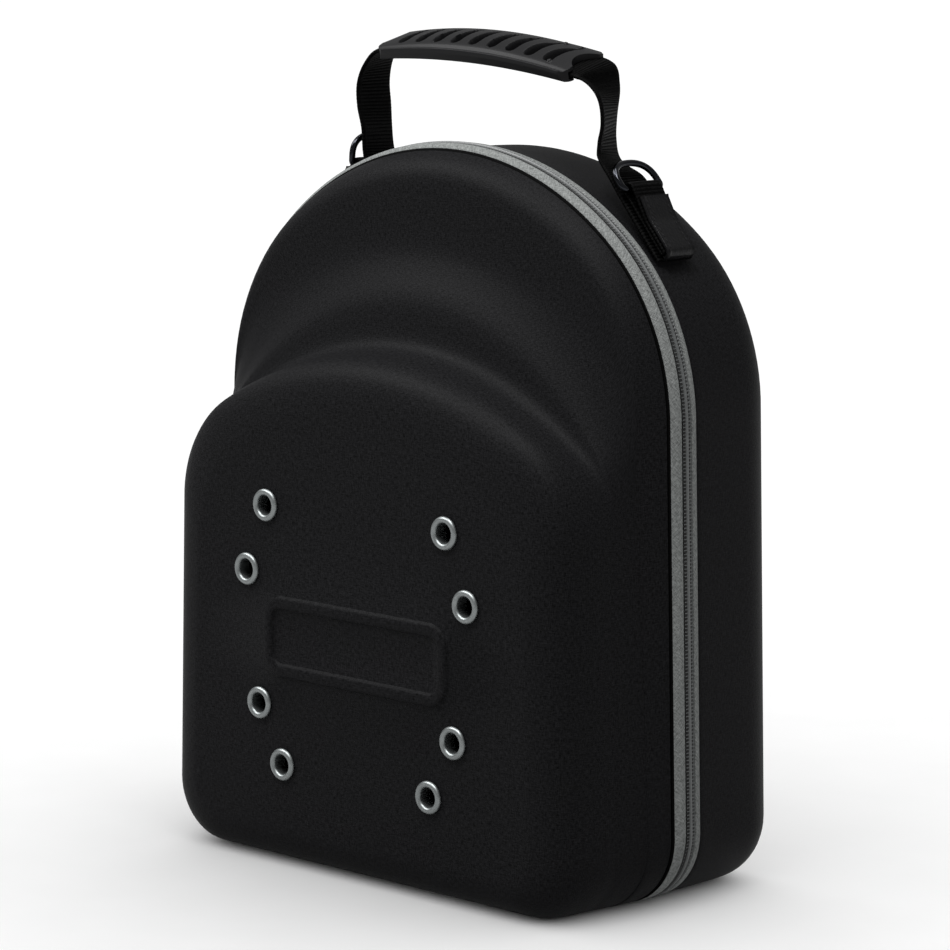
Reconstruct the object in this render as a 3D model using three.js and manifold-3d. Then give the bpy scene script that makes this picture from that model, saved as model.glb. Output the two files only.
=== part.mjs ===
// A hard-shell cap carrier: two moulded half shells held by a zip all round, a webbing handle with a
// rubber grip, a ring tab on each shoulder and a row of eyelets on each side of the front.
// Units are millimetres. X runs across the case, -Y is its front, Z is up.
// The origin is the middle of the underside, on the plane of the zip.
import * as THREE from "three";
import { LoftGeometry } from "three/addons/geometries/LoftGeometry.js";
import { mergeVertices } from "three/addons/utils/BufferGeometryUtils.js";
import Module from "manifold-3d";

const wasm = await Module();
wasm.setup();

// Case
const CASE_HEIGHT = 286; // underside to the crest of the zip
const CASE_HALF_WIDTH = 121.2; // middle to the crest of the zip
const CROWN_RADIUS = 131; // top arch of the zip line
const CORNER_RADIUS = 31; // lower corners of the zip line
const SIDE_LEAN = 3.8; // how far each side leans in on its way up to the shoulder
const CROWN_SHARE = 0.72; // share of the half width that the top arch spans
const WALL = 3;
const GAP = 0.3; // clearance between neighbouring pieces
const RIM_DEPTH = 8.3; // zip plane to the rim of either shell
const FRONT_DEPTH = 58.2;
const BACK_DEPTH = 61;
const OUTLINE_STEPS = { base: 3, corner: 5, side: 3, shoulder: 4, crown: 7 };

// Front
const EYELET = { hole: 3.2, barrel: 4.2, seat: 4.6, flange: 6.5, sides: 12 };
const EYELET_PLACES = [
  { x: 48.1, z: 144.5 },
  { x: 58.9, z: 117.9 },
  { x: 52.4, z: 64.9 },
  { x: 39.7, z: 41.8 },
];
const BADGE = { z: 93, halfWidth: 50, halfHeight: 16.5, corner: 10, ridge: 6, relief: 1.3, slope: 0.9 };

// Zip
const COIL_HALF_WIDTH = 2.7;
const HINGE_THICKNESS = 1.5;
const SLIDER = { z: 72, width: 8.6, length: 13, height: 3.4 };
const PULL = { length: 26, width: 7, thickness: 1.6, corner: 2.6 };

// Handle
const STRAP_Y = 20;
const STRAP_WIDTH = 20;
const STRAP_THICKNESS = 1.8;
const STRAP_SECTIONS = 64;
const GRIP = { x: -1, z: 316.6, half: 52, width: 26, tilt: 3.5, roll: 15, sections: 14 };
const GRIP_TUNNEL = { width: STRAP_WIDTH + 1, height: STRAP_THICKNESS + 1.1 };
const GRIP_SLOTS = { count: 9, pitch: 9.6, near: -7, far: 6.5, width: 3.2, sweep: 6 };
const GRIP_NOTCH_RADIUS = 9;

// Ring tabs
const TAB = { bar: 29.5, rise: 11, fold: 1.3, layer: 1.1, y: 20.4, width: 17 };
const PATCH = { top: 24, thickness: 1.2, width: 15.2, wrap: 205 };
const RING = { wire: 1.3, halfWidth: 11, reach: 11.8, sides: 8, clear: 0.3 };

// Each shoulder's tab: where it starts as an angle round the crown from the top, its slope, and the
// slope at which its ring leans on the strap.
const SHOULDERS = {
  left: { side: -1, anchor: 42, slope: 40.5, ring: 87 },
  right: { side: 1, anchor: 45.6, slope: 51, ring: 50 },
};

const COLOURS = {
  shell: 0x1d1d1e,
  tape: 0x6b6c69,
  coil: 0x3a3b3a,
  hinge: 0x1a1a1b,
  slider: 0x4a4b4d,
  eyelet: 0xb9babb,
  webbing: 0x151516,
  rubber: 0x202021,
  leather: 0x1b1b1c,
  ring: 0x3c3d40,
};

// Sections of the front shell from the rim forward. Its top steps down in three tiers.
const FRONT_SECTIONS = [
  { depth: RIM_DEPTH, top: 282.6, half: 117.8, base: 0.3, crown: 128, corner: 29 },
  { depth: 10.6, top: 280.4, half: 117.2, base: 0, crown: 128, corner: 29 },
  { depth: 13.4, top: 275.4, half: 116.4, base: 0, crown: 129, corner: 28.5 },
  { depth: 15.8, top: 266.8, half: 115.5, base: 0, crown: 133, corner: 28 },
  { depth: 17.2, top: 255.5, half: 114.8, base: 0, crown: 142, corner: 28 },
  { depth: 18.6, top: 246.3, half: 114.2, base: 0, crown: 150, corner: 27.5 },
  { depth: 21.4, top: 241.2, half: 113.4, base: 0, crown: 146, corner: 27 },
  { depth: 26, top: 237.2, half: 112.4, base: 0, crown: 138, corner: 26.5 },
  { depth: 31, top: 232.4, half: 111.3, base: 0, crown: 131, corner: 26 },
  { depth: 34.6, top: 226.6, half: 110.4, base: 0, crown: 127, corner: 26 },
  { depth: 38.6, top: 219.2, half: 109.4, base: 0, crown: 126, corner: 25.5 },
  { depth: 43.4, top: 213, half: 108, base: 0.4, crown: 127, corner: 25 },
  { depth: 49, top: 209.2, half: 105.4, base: 1.6, crown: 128, corner: 24 },
  { depth: 53.2, top: 206, half: 101.8, base: 3.8, crown: 126, corner: 22 },
  { depth: 56.2, top: 200.8, half: 97.2, base: 7.2, crown: 121, corner: 19.5 },
  { depth: 57.7, top: 194, half: 92.6, base: 11, crown: 115, corner: 16.5 },
  { depth: FRONT_DEPTH, top: 187.4, half: 88.6, base: 14.6, crown: 108, corner: 14 },
];

// Sections of the back shell from the rim backward.
const BACK_SECTIONS = [
  { depth: RIM_DEPTH, top: 282.6, half: 117.8, base: 0.3, crown: 128, corner: 29 },
  { depth: 11, top: 283, half: 118, base: 0, crown: 128.4, corner: 28.5 },
  { depth: 40, top: 282.6, half: 117.4, base: 0, crown: 128.4, corner: 27 },
  { depth: 47, top: 281.4, half: 116.2, base: 0.5, crown: 127.4, corner: 26 },
  { depth: 53, top: 278.2, half: 113.4, base: 2.4, crown: 125, corner: 24.5 },
  { depth: 57.5, top: 273.2, half: 109, base: 6, crown: 121, corner: 22 },
  { depth: 60.2, top: 266.8, half: 103.6, base: 10.5, crown: 115, corner: 19 },
  { depth: BACK_DEPTH, top: 259.8, half: 98, base: 15, crown: 108, corner: 16 },
];

// Cross sections of the zip, as corners: y from the zip plane, inset from the crest, lift off the floor.
const TAPE_CORNERS = [
  { y: COIL_HALF_WIDTH + GAP, inset: 0.5, lift: 0.3 },
  { y: 5.6, inset: 1.2, lift: 0.3 },
  { y: RIM_DEPTH - GAP, inset: 2.6, lift: 0.3 },
  { y: RIM_DEPTH - GAP, inset: 3.8, lift: 1.5 },
  { y: 5.6, inset: 2.4, lift: 1.5 },
  { y: COIL_HALF_WIDTH + GAP, inset: 1.7, lift: 1.5 },
];
const COIL_CORNERS = [
  { y: -COIL_HALF_WIDTH, inset: 0.7, lift: 0.3 },
  { y: -1.6, inset: 0, lift: 0 },
  { y: 1.6, inset: 0, lift: 0 },
  { y: COIL_HALF_WIDTH, inset: 0.7, lift: 0.3 },
  { y: COIL_HALF_WIDTH, inset: 2.2, lift: 2.2 },
  { y: -COIL_HALF_WIDTH, inset: 2.2, lift: 2.2 },
];

const radians = THREE.MathUtils.degToRad;

// A geometry as a solid with shared corners and its faces turned outward.
function solidOf(geometry) {
  const bare = new THREE.BufferGeometry();
  bare.setAttribute("position", geometry.getAttribute("position"));
  bare.setIndex(geometry.index);
  const merged = mergeVertices(bare, 1e-4);
  const vertProperties = merged.getAttribute("position").array;
  const flat = [...merged.index.array];
  const triVerts = [];
  for (let i = 0; i < flat.length; i += 3) {
    const [a, b, c] = flat.slice(i, i + 3);
    if (a !== b && b !== c && c !== a) triVerts.push(a, b, c);
  }
  const mesh = (order) => new wasm.Mesh({ numProp: 3, vertProperties, triVerts: new Uint32Array(order) });
  const solid = new wasm.Manifold(mesh(triVerts));
  return solid.volume() > 0 ? solid : new wasm.Manifold(mesh(triVerts.reverse()));
}

const middleOf = (section) =>
  section.reduce((sum, point) => sum.add(point), new THREE.Vector3()).divideScalar(section.length);

// A loft closed at both ends, with its sections wound so that its sides face out as its ends do.
function loft(sections) {
  const [first, second] = sections;
  const middle = middleOf(first);
  const normal = first.reduce((sum, point, i) => {
    const next = first[(i + 1) % first.length];
    return sum.add(point.clone().sub(middle).cross(next.clone().sub(middle)));
  }, new THREE.Vector3());
  const forward = normal.dot(middleOf(second).sub(middle)) > 0;
  const wound = forward ? sections : sections.map((section) => [...section].reverse());
  return solidOf(new LoftGeometry(wound, { capStart: true, capEnd: true }));
}

function geometryOf(solid) {
  const { vertProperties, triVerts } = solid.getMesh();
  const geometry = new THREE.BufferGeometry();
  geometry.setAttribute("position", new THREE.BufferAttribute(vertProperties, 3));
  geometry.setIndex(new THREE.BufferAttribute(triVerts, 1));
  geometry.computeVertexNormals();
  return geometry;
}

function piece(name, solid, color, roughness, metalness = 0) {
  const material = new THREE.MeshStandardMaterial({ color, roughness, metalness });
  const mesh = new THREE.Mesh(geometryOf(solid), material);
  mesh.name = name;
  return mesh;
}

// An arc of steps points that leaves out its last one, with angles counted from +x.
function arc(cx, cz, radius, from, to, steps) {
  return Array.from({ length: steps }, (_, i) => {
    const angle = from + ((to - from) * i) / steps;
    return new THREE.Vector2(cx + radius * Math.cos(angle), cz + radius * Math.sin(angle));
  });
}

function line(x0, z0, x1, z1, steps) {
  return Array.from({ length: steps }, (_, i) => {
    const share = i / steps;
    return new THREE.Vector2(x0 + (x1 - x0) * share, z0 + (z1 - z0) * share);
  });
}

// The case's outline at one depth, from the middle of the base round by the right side.
function outline({ half, top, base, crown, corner }) {
  const upperHalf = half - SIDE_LEAN;
  const crownX = upperHalf * CROWN_SHARE;
  const crownEnd = Math.acos(crownX / crown);
  const shoulder = (upperHalf - crownX) / (1 - Math.cos(crownEnd));
  const shoulderZ = top - crown + (crown - shoulder) * Math.sin(crownEnd);
  const s = OUTLINE_STEPS;
  const right = [
    ...line(0, base, half - corner, base, s.base),
    ...arc(half - corner, base + corner, corner, -Math.PI / 2, 0, s.corner),
    ...line(half, base + corner, upperHalf, shoulderZ, s.side),
    ...arc(upperHalf - shoulder, shoulderZ, shoulder, 0, crownEnd, s.shoulder),
    ...arc(0, top - crown, crown, crownEnd, Math.PI / 2, s.crown),
  ];
  const left = right.slice(1).reverse().map((p) => new THREE.Vector2(-p.x, p.y));
  return [...right, new THREE.Vector2(0, top), ...left];
}

// The rings of one shell's outer face. The side is -1 toward the front and 1 toward the back.
function shellRings(sections, side) {
  return sections.map((row) => outline(row).map((p) => new THREE.Vector3(p.x, side * row.depth, p.y)));
}

// The same rings moved inward along the surface normals by the wall's thickness.
function innerRings(rings, side) {
  const last = rings.length - 1;
  const count = rings[0].length;
  const inner = rings.map((ring, r) =>
    ring.map((point, i) => {
      const along = new THREE.Vector3().subVectors(ring[(i + 1) % count], ring[(i + count - 1) % count]);
      const before = rings[Math.max(r - 1, 0)][i];
      const after = rings[Math.min(r + 1, last)][i];
      const outward = new THREE.Vector3().subVectors(after, before).cross(along).multiplyScalar(side);
      return point.clone().addScaledVector(outward.normalize(), -WALL);
    }),
  );
  const innerDepth = side * (Math.abs(rings[last][0].y) - WALL);
  inner[last].forEach((point) => point.setY(innerDepth));
  inner[0].forEach((point) => point.setY(side * RIM_DEPTH));
  const mouth = inner[0].map((point) => point.clone().setY(side * (RIM_DEPTH - 1)));
  return [mouth, ...inner];
}

function shell(sections, side) {
  const rings = shellRings(sections, side);
  return loft(rings).subtract(loft(innerRings(rings, side)));
}

function roundedRectangle(path, halfWidth, halfHeight, corner) {
  const [w, h] = [halfWidth - corner, halfHeight - corner];
  path.absarc(w, -h, corner, -Math.PI / 2, 0);
  path.absarc(w, h, corner, 0, Math.PI / 2);
  path.absarc(-w, h, corner, Math.PI / 2, Math.PI);
  path.absarc(-w, -h, corner, Math.PI, 1.5 * Math.PI);
  path.closePath();
  return path;
}

// The blank raised frame on the front, in the place of a badge.
function badgeFrame() {
  const { halfWidth, halfHeight, corner, ridge, relief, slope } = BADGE;
  const ring = roundedRectangle(new THREE.Shape(), halfWidth - slope, halfHeight - slope, corner - slope);
  const inset = ridge - slope;
  ring.holes.push(roundedRectangle(new THREE.Path(), halfWidth - inset, halfHeight - inset, corner - inset));
  const frame = new THREE.ExtrudeGeometry(ring, {
    depth: 1,
    bevelThickness: relief,
    bevelSize: slope,
    bevelSegments: 1,
    curveSegments: 5,
  });
  frame.rotateX(Math.PI / 2);
  frame.translate(0, -(FRONT_DEPTH - 1), BADGE.z);
  return solidOf(frame);
}

function eyeletPlaces() {
  return [-1, 1].flatMap((side) => EYELET_PLACES.map((place) => ({ x: side * place.x, z: place.z })));
}

function frontShell() {
  const shellBody = shell(FRONT_SECTIONS, -1).add(badgeFrame());
  return eyeletPlaces().reduce((body, { x, z }) => {
    const drill = new THREE.CylinderGeometry(EYELET.seat, EYELET.seat, 6 * WALL, EYELET.sides);
    drill.translate(x, -FRONT_DEPTH, z);
    return body.subtract(solidOf(drill));
  }, shellBody);
}

// A rolled metal eyelet about the Y axis, with its outer flange toward the front.
function eyelet() {
  const { hole, barrel, flange, sides } = EYELET;
  const back = -WALL - GAP;
  const profile = [
    { r: hole, h: back - 1.1 },
    { r: flange - 0.8, h: back - 1.1 },
    { r: flange - 0.8, h: back },
    { r: barrel, h: back },
    { r: barrel, h: GAP },
    { r: flange, h: GAP },
    { r: flange - 0.4, h: 1.2 },
    { r: barrel + 0.4, h: 1.7 },
    { r: hole, h: 0.8 },
  ];
  const points = [...profile, profile[0]].map(({ r, h }) => new THREE.Vector2(r, h));
  return solidOf(new THREE.LatheGeometry(points, sides).rotateX(Math.PI));
}

// The zip's cross sections along the case outline, one for each of its points.
function bandSections(corners, side = 1) {
  const rings = corners.map(({ y, inset, lift }) =>
    outline({
      half: CASE_HALF_WIDTH - inset,
      top: CASE_HEIGHT - inset,
      base: lift,
      crown: CROWN_RADIUS - inset,
      corner: CORNER_RADIUS - inset,
    }).map((p) => new THREE.Vector3(p.x, side * y, p.y)),
  );
  return rings[0].map((_, k) => rings.map((ring) => ring[k]));
}

function zipTape(side) {
  const sections = bandSections(TAPE_CORNERS, side);
  return solidOf(new LoftGeometry([...sections, sections[0]]));
}

// The coil runs all round apart from the hinge in the middle of the underside.
function zipCoil() {
  const sections = bandSections(COIL_CORNERS);
  const end = OUTLINE_STEPS.base - 1;
  return loft(sections.slice(end, sections.length - end + 1));
}

function hingeStrip() {
  const share = (OUTLINE_STEPS.base - 1) / OUTLINE_STEPS.base;
  const half = (CASE_HALF_WIDTH - CORNER_RADIUS) * share - GAP;
  const strip = new THREE.BoxGeometry(2 * half, 2 * COIL_HALF_WIDTH, HINGE_THICKNESS);
  return solidOf(strip.translate(0, 0, HINGE_THICKNESS / 2));
}

// A slider body on the coil with its pull hanging down along the zip.
function zipSlider() {
  const { width, length, height } = SLIDER;
  const taper = width / 2 - 1.4;
  const waist = new THREE.Shape();
  waist.moveTo(-taper, -length / 2);
  waist.lineTo(taper, -length / 2);
  waist.lineTo(width / 2, length / 2);
  waist.lineTo(-width / 2, length / 2);
  waist.closePath();
  const body = solidOf(new THREE.ExtrudeGeometry(waist, { depth: height, bevelEnabled: false }));
  const bridge = new THREE.BoxGeometry(2.4, length - 4, 3).translate(0, 0, height + 0.5);
  const tab = roundedRectangle(new THREE.Shape(), PULL.width / 2, PULL.length / 2, PULL.corner);
  const pull = new THREE.ExtrudeGeometry(tab, { depth: PULL.thickness, bevelEnabled: false, curveSegments: 4 });
  pull.translate(0, -PULL.length / 2 + 3, height + 1);
  return body.add(solidOf(bridge)).add(solidOf(pull));
}

// On the left side of the zip's crest, leaning with it.
function sliderPlace() {
  const crest = bandSections([{ y: 0, inset: 0, lift: 0 }]).map(([point]) => point);
  const first = OUTLINE_STEPS.base + OUTLINE_STEPS.corner;
  const [low, high] = [crest[first], crest[first + OUTLINE_STEPS.side]];
  const lean = Math.atan((low.x - high.x) / (high.z - low.z));
  const toFront = new THREE.Vector3(0, -1, 0);
  const upward = new THREE.Vector3(Math.sin(lean), 0, Math.cos(lean));
  const toLeft = new THREE.Vector3(-Math.cos(lean), 0, Math.sin(lean));
  const x = -low.x + (SLIDER.z - low.z) * Math.tan(lean) - GAP;
  return new THREE.Matrix4().makeBasis(toFront, upward, toLeft).setPosition(x, 0, SLIDER.z);
}

// A place beside a tab: how far up along it from its start, and how high off the shell.
function tabPoint({ side, anchor, slope }, along, height) {
  const { crown, top } = BACK_SECTIONS[1];
  const [start, climb] = [radians(anchor), radians(slope)];
  const x = crown * Math.sin(start) - along * Math.cos(climb) + height * Math.sin(climb);
  const z = top - crown + crown * Math.cos(start) + along * Math.sin(climb) + height * Math.cos(climb);
  return new THREE.Vector2(side * x, z);
}

const STRAP_HEIGHT = STRAP_THICKNESS / 2 + 0.4; // strap's middle over the shell at the anchor
const TAB_FLOOR = STRAP_HEIGHT + STRAP_THICKNESS / 2 + GAP;
const TAB_EYE = TAB.layer + RING.clear + RING.wire; // outer radius of the tab's eye round the bar
const TAB_RISE = radians(TAB.rise); // slope of the tab's upper side toward the eye
const BAR_HEIGHT = TAB_FLOOR + TAB_EYE;

// Grip heights over its chord at a place along it, where 1 is the middle and 0 is either end.
const gripFill = (x) => 1 - (x / GRIP.half) ** 2;
const GRIP_CURVES = {
  bottom: (q) => -1 + 3.4 * q,
  edge: (q) => 2 + 4 * q,
  crest: (q) => 5 + 5.6 * q,
  strap: (q) => 1.3 + 3.9 * q,
};
const gripPlace = new THREE.Matrix4()
  .makeRotationFromEuler(new THREE.Euler(radians(GRIP.roll), radians(GRIP.tilt), 0, "YXZ"))
  .setPosition(GRIP.x, STRAP_Y, GRIP.z);

// The strap's middle line from the left tab over the grip to the right tab, with its turn about itself.
function strapStations() {
  const onTab = (shoulder, places) =>
    places.map(({ along, turn }) => {
      const point = tabPoint(shoulder, along, STRAP_HEIGHT);
      return { x: point.x, y: STRAP_Y, z: point.y, turn };
    });
  const leftTab = onTab(SHOULDERS.left, [
    { along: -1, turn: 0 },
    { along: 14, turn: 0 },
    { along: 28, turn: 0 },
    { along: 34, turn: 1 },
  ]);
  const rightTab = onTab(SHOULDERS.right, [
    { along: 37, turn: -2 },
    { along: 28, turn: 0 },
    { along: 14, turn: 0 },
    { along: -1, turn: 0 },
  ]);
  const inGrip = [-1.05, -0.8, -0.5, -0.25, 0, 0.25, 0.5, 0.8, 1.05].map((share) => {
    const x = share * GRIP.half;
    const point = new THREE.Vector3(x, 0, GRIP_CURVES.strap(gripFill(x))).applyMatrix4(gripPlace);
    return { x: point.x, y: point.y, z: point.z, turn: GRIP.roll };
  });
  const leftLeg = [
    { x: -62.4, y: STRAP_Y, z: 280, turn: 7 },
    { x: -63.2, y: STRAP_Y, z: 288, turn: 8 },
    { x: -64.6, y: STRAP_Y, z: 297, turn: 3 },
    { x: -65, y: STRAP_Y, z: 306, turn: 5 },
    { x: -62, y: STRAP_Y, z: 314.5, turn: 11 },
  ];
  const rightLeg = [
    { x: 57.6, y: STRAP_Y, z: 309.5, turn: -4 },
    { x: 60.2, y: STRAP_Y, z: 303, turn: -28 },
    { x: 60.4, y: STRAP_Y, z: 295, turn: -38 },
    { x: 59.6, y: STRAP_Y, z: 288, turn: -31 },
    { x: 60.6, y: STRAP_Y, z: 281.5, turn: -22 },
  ];
  return [...leftTab, ...leftLeg, ...inGrip, ...rightLeg, ...rightTab];
}

function handleStrap() {
  const stations = strapStations();
  const path = new THREE.CatmullRomCurve3(stations.map((s) => new THREE.Vector3(s.x, s.y, s.z)));
  const sections = [];
  for (let i = 0; i <= STRAP_SECTIONS; i++) {
    const share = i / STRAP_SECTIONS;
    const place = share * (stations.length - 1);
    const from = Math.min(Math.floor(place), stations.length - 2);
    const turn = THREE.MathUtils.lerp(stations[from].turn, stations[from + 1].turn, place - from);
    const middle = path.getPoint(share);
    const tangent = path.getTangent(share);
    const across = new THREE.Vector3(0, 1, 0).applyAxisAngle(tangent, radians(turn));
    const out = new THREE.Vector3().crossVectors(across, tangent).normalize();
    const corners = [
      { w: 1, t: 1 },
      { w: -1, t: 1 },
      { w: -1, t: -1 },
      { w: 1, t: -1 },
    ];
    sections.push(
      corners.map(({ w, t }) =>
        middle
          .clone()
          .addScaledVector(across, (w * STRAP_WIDTH) / 2)
          .addScaledVector(out, (t * STRAP_THICKNESS) / 2),
      ),
    );
  }
  return loft(sections);
}

// One slot through the grip's top: blunt toward the front, drawn out and bent toward the back.
function gripSlot(x) {
  const { near, far, width, sweep } = GRIP_SLOTS;
  const slot = new THREE.Shape();
  slot.moveTo(0, near);
  slot.quadraticCurveTo(-1.2, 2, sweep, far);
  slot.quadraticCurveTo(width, 1.5, width, near);
  slot.absarc(width / 2, near, width / 2, 0, -Math.PI, true);
  const cutter = new THREE.ExtrudeGeometry(slot, { depth: 30, bevelEnabled: false, curveSegments: 4 });
  return solidOf(cutter.translate(x, 0, GRIP_CURVES.strap(gripFill(x))));
}

// The grip in its own frame: an arched, crowned bar with a tunnel for the strap.
function handleGrip() {
  const { half, width, sections } = GRIP;
  const outer = [];
  const tunnel = [];
  for (let i = 0; i <= sections; i++) {
    const x = half * ((2 * i) / sections - 1);
    const q = gripFill(x);
    const [bottom, edge, crest] = [GRIP_CURVES.bottom(q), GRIP_CURVES.edge(q), GRIP_CURVES.crest(q)];
    const crown = [0.94, 0.72, 0.4, 0, -0.4, -0.72, -0.94].map((share) => ({
      y: (share * width) / 2,
      z: edge + (crest - edge) * Math.sqrt(1 - share * share),
    }));
    const ring = [
      { y: -width / 2 + 1.2, z: bottom },
      { y: width / 2 - 1.2, z: bottom },
      { y: width / 2, z: edge },
      ...crown,
      { y: -width / 2, z: edge },
    ];
    outer.push(ring.map((p) => new THREE.Vector3(x, p.y, p.z)));
    const line = GRIP_CURVES.strap(q);
    const reach = x * (1 + 2 / half);
    const [w, h] = [GRIP_TUNNEL.width / 2, GRIP_TUNNEL.height / 2];
    const hollow = [
      { y: -w, z: line - h },
      { y: w, z: line - h },
      { y: w, z: line + h },
      { y: -w, z: line + h },
    ];
    tunnel.push(hollow.map((p) => new THREE.Vector3(reach, p.y, p.z)));
  }
  let grip = loft(outer).subtract(loft(tunnel));
  for (let i = 0; i < GRIP_SLOTS.count; i++) {
    const x = (i - (GRIP_SLOTS.count - 1) / 2) * GRIP_SLOTS.pitch - GRIP_SLOTS.sweep / 3;
    grip = grip.subtract(gripSlot(x));
  }
  for (const side of [-1, 1]) {
    const notch = new THREE.CylinderGeometry(GRIP_NOTCH_RADIUS, GRIP_NOTCH_RADIUS, 30, 20);
    notch.rotateX(Math.PI / 2).translate(side * (half + 4), 0, GRIP_CURVES.strap(0) + 15);
    grip = grip.subtract(solidOf(notch));
  }
  return grip;
}

// Where the tab's upper side, or a skin a little above it, turns from level to rising toward the eye.
function tabKnee(above) {
  const level = TAB_FLOOR + 2 * TAB.fold + above;
  const drop = BAR_HEIGHT + (TAB_EYE + above) / Math.cos(TAB_RISE) - level;
  return new THREE.Vector2(TAB.bar - drop / Math.tan(TAB_RISE), level);
}

// A fold of webbing on the strap, swelling to an eye round the ring's bar and sewn at its lower end.
function ringTab() {
  const knee = tabKnee(0);
  const side = new THREE.Shape();
  side.absarc(TAB.bar, BAR_HEIGHT, TAB_EYE, -Math.PI / 2, Math.PI / 2 + TAB_RISE);
  side.lineTo(knee.x, knee.y);
  side.absarc(TAB.fold, TAB_FLOOR + TAB.fold, TAB.fold, Math.PI / 2, 1.5 * Math.PI);
  side.closePath();
  side.holes.push(new THREE.Path().absarc(TAB.bar, BAR_HEIGHT, RING.wire + RING.clear, 0, 2 * Math.PI, true));
  return new THREE.ExtrudeGeometry(side, { depth: TAB.width, bevelEnabled: false, curveSegments: 9 });
}

// The leather patch over the tab, turned down over its sewn end.
function ringPatch() {
  const [under, over] = [GAP, GAP + PATCH.thickness];
  const [low, high] = [tabKnee(under), tabKnee(over)];
  const slope = Math.tan(TAB_RISE);
  const wrap = radians(PATCH.wrap);
  const side = new THREE.Shape();
  side.moveTo(PATCH.top, high.y + (PATCH.top - high.x) * slope);
  side.lineTo(high.x, high.y);
  side.absarc(TAB.fold, TAB_FLOOR + TAB.fold, TAB.fold + over, Math.PI / 2, wrap);
  side.absarc(TAB.fold, TAB_FLOOR + TAB.fold, TAB.fold + under, wrap, Math.PI / 2, true);
  side.lineTo(low.x, low.y);
  side.lineTo(PATCH.top, low.y + (PATCH.top - low.x) * slope);
  side.closePath();
  return new THREE.ExtrudeGeometry(side, { depth: PATCH.width, bevelEnabled: false, curveSegments: 4 });
}

// Moves a side profile drawn along the tab onto its shoulder.
function onShoulder(geometry, width, shoulder) {
  const position = geometry.getAttribute("position");
  for (let i = 0; i < position.count; i++) {
    const place = tabPoint(shoulder, position.getX(i), position.getY(i));
    position.setXYZ(i, place.x, TAB.y - width / 2 + position.getZ(i), place.y);
  }
  return solidOf(geometry);
}

// A wire D in its own frame: the straight bar along Y through the origin, the bow toward +Z.
function dRing() {
  const { wire, halfWidth, reach, sides } = RING;
  const bend = 4;
  const route = new THREE.Path();
  route.moveTo(-halfWidth + bend / 2, 0);
  route.lineTo(halfWidth - bend / 2, 0);
  route.quadraticCurveTo(halfWidth, 0, halfWidth, bend / 2);
  route.lineTo(halfWidth, reach * 0.3);
  route.bezierCurveTo(halfWidth, reach * 0.82, halfWidth * 0.6, reach, 0, reach);
  route.bezierCurveTo(-halfWidth * 0.6, reach, -halfWidth, reach * 0.82, -halfWidth, reach * 0.3);
  route.lineTo(-halfWidth, bend / 2);
  route.quadraticCurveTo(-halfWidth, 0, -halfWidth + bend / 2, 0);
  const middle = route.getPoints(5).slice(0, -1);
  const sections = middle.map((point, i) => {
    const before = middle[(i + middle.length - 1) % middle.length];
    const after = middle[(i + 1) % middle.length];
    const normal = new THREE.Vector2(after.y - before.y, before.x - after.x).normalize();
    return Array.from({ length: sides }, (_, k) => {
      const angle = ((k + 0.5) / sides) * 2 * Math.PI;
      const out = wire * Math.cos(angle);
      return new THREE.Vector3(wire * Math.sin(angle), point.x + normal.x * out, point.y + normal.y * out);
    });
  });
  return solidOf(new LoftGeometry([...sections, sections[0]]));
}

function placeRing(ring, shoulder) {
  const bar = tabPoint(shoulder, TAB.bar, BAR_HEIGHT);
  ring.position.set(bar.x, TAB.y, bar.y);
  ring.rotation.y = -shoulder.side * radians(90 - shoulder.ring);
  return ring;
}

const carrier = new THREE.Group();
carrier.add(
  piece("front_shell", frontShell(), COLOURS.shell, 0.72),
  piece("back_shell", shell(BACK_SECTIONS, 1), COLOURS.shell, 0.72),
  piece("zip_tape_front", zipTape(-1), COLOURS.tape, 0.85),
  piece("zip_tape_back", zipTape(1), COLOURS.tape, 0.85),
  piece("zip_coil", zipCoil(), COLOURS.coil, 0.6),
  piece("hinge_strip", hingeStrip(), COLOURS.hinge, 0.85),
);

const slider = piece("zip_slider", zipSlider(), COLOURS.slider, 0.35, 0.9);
slider.applyMatrix4(sliderPlace());
carrier.add(slider);

eyeletPlaces().forEach(({ x, z }, i) => {
  const ring = piece(`eyelet_${i + 1}`, eyelet(), COLOURS.eyelet, 0.3, 1);
  ring.position.set(x, -FRONT_DEPTH, z);
  carrier.add(ring);
});

const grip = piece("handle_grip", handleGrip(), COLOURS.rubber, 0.55);
grip.applyMatrix4(gripPlace);
carrier.add(piece("handle_strap", handleStrap(), COLOURS.webbing, 0.9), grip);

for (const [label, shoulder] of Object.entries(SHOULDERS)) {
  const tab = onShoulder(ringTab(), TAB.width, shoulder);
  const patch = onShoulder(ringPatch(), PATCH.width, shoulder);
  const ring = piece(`d_ring_${label}`, dRing(), COLOURS.ring, 0.3, 1);
  carrier.add(
    piece(`ring_tab_${label}`, tab, COLOURS.webbing, 0.9),
    piece(`ring_patch_${label}`, patch, COLOURS.leather, 0.6),
    placeRing(ring, shoulder),
  );
}

export default carrier;
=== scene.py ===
"""Upright hard-shell cap carrier: moulded cloth shells, coil zip, webbing handle with a rubber grip."""
import math
from collections import namedtuple

import bmesh
import bpy
from bpy.props import FloatProperty, FloatVectorProperty, PointerProperty
from mathutils import Matrix, Quaternion, Vector


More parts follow.
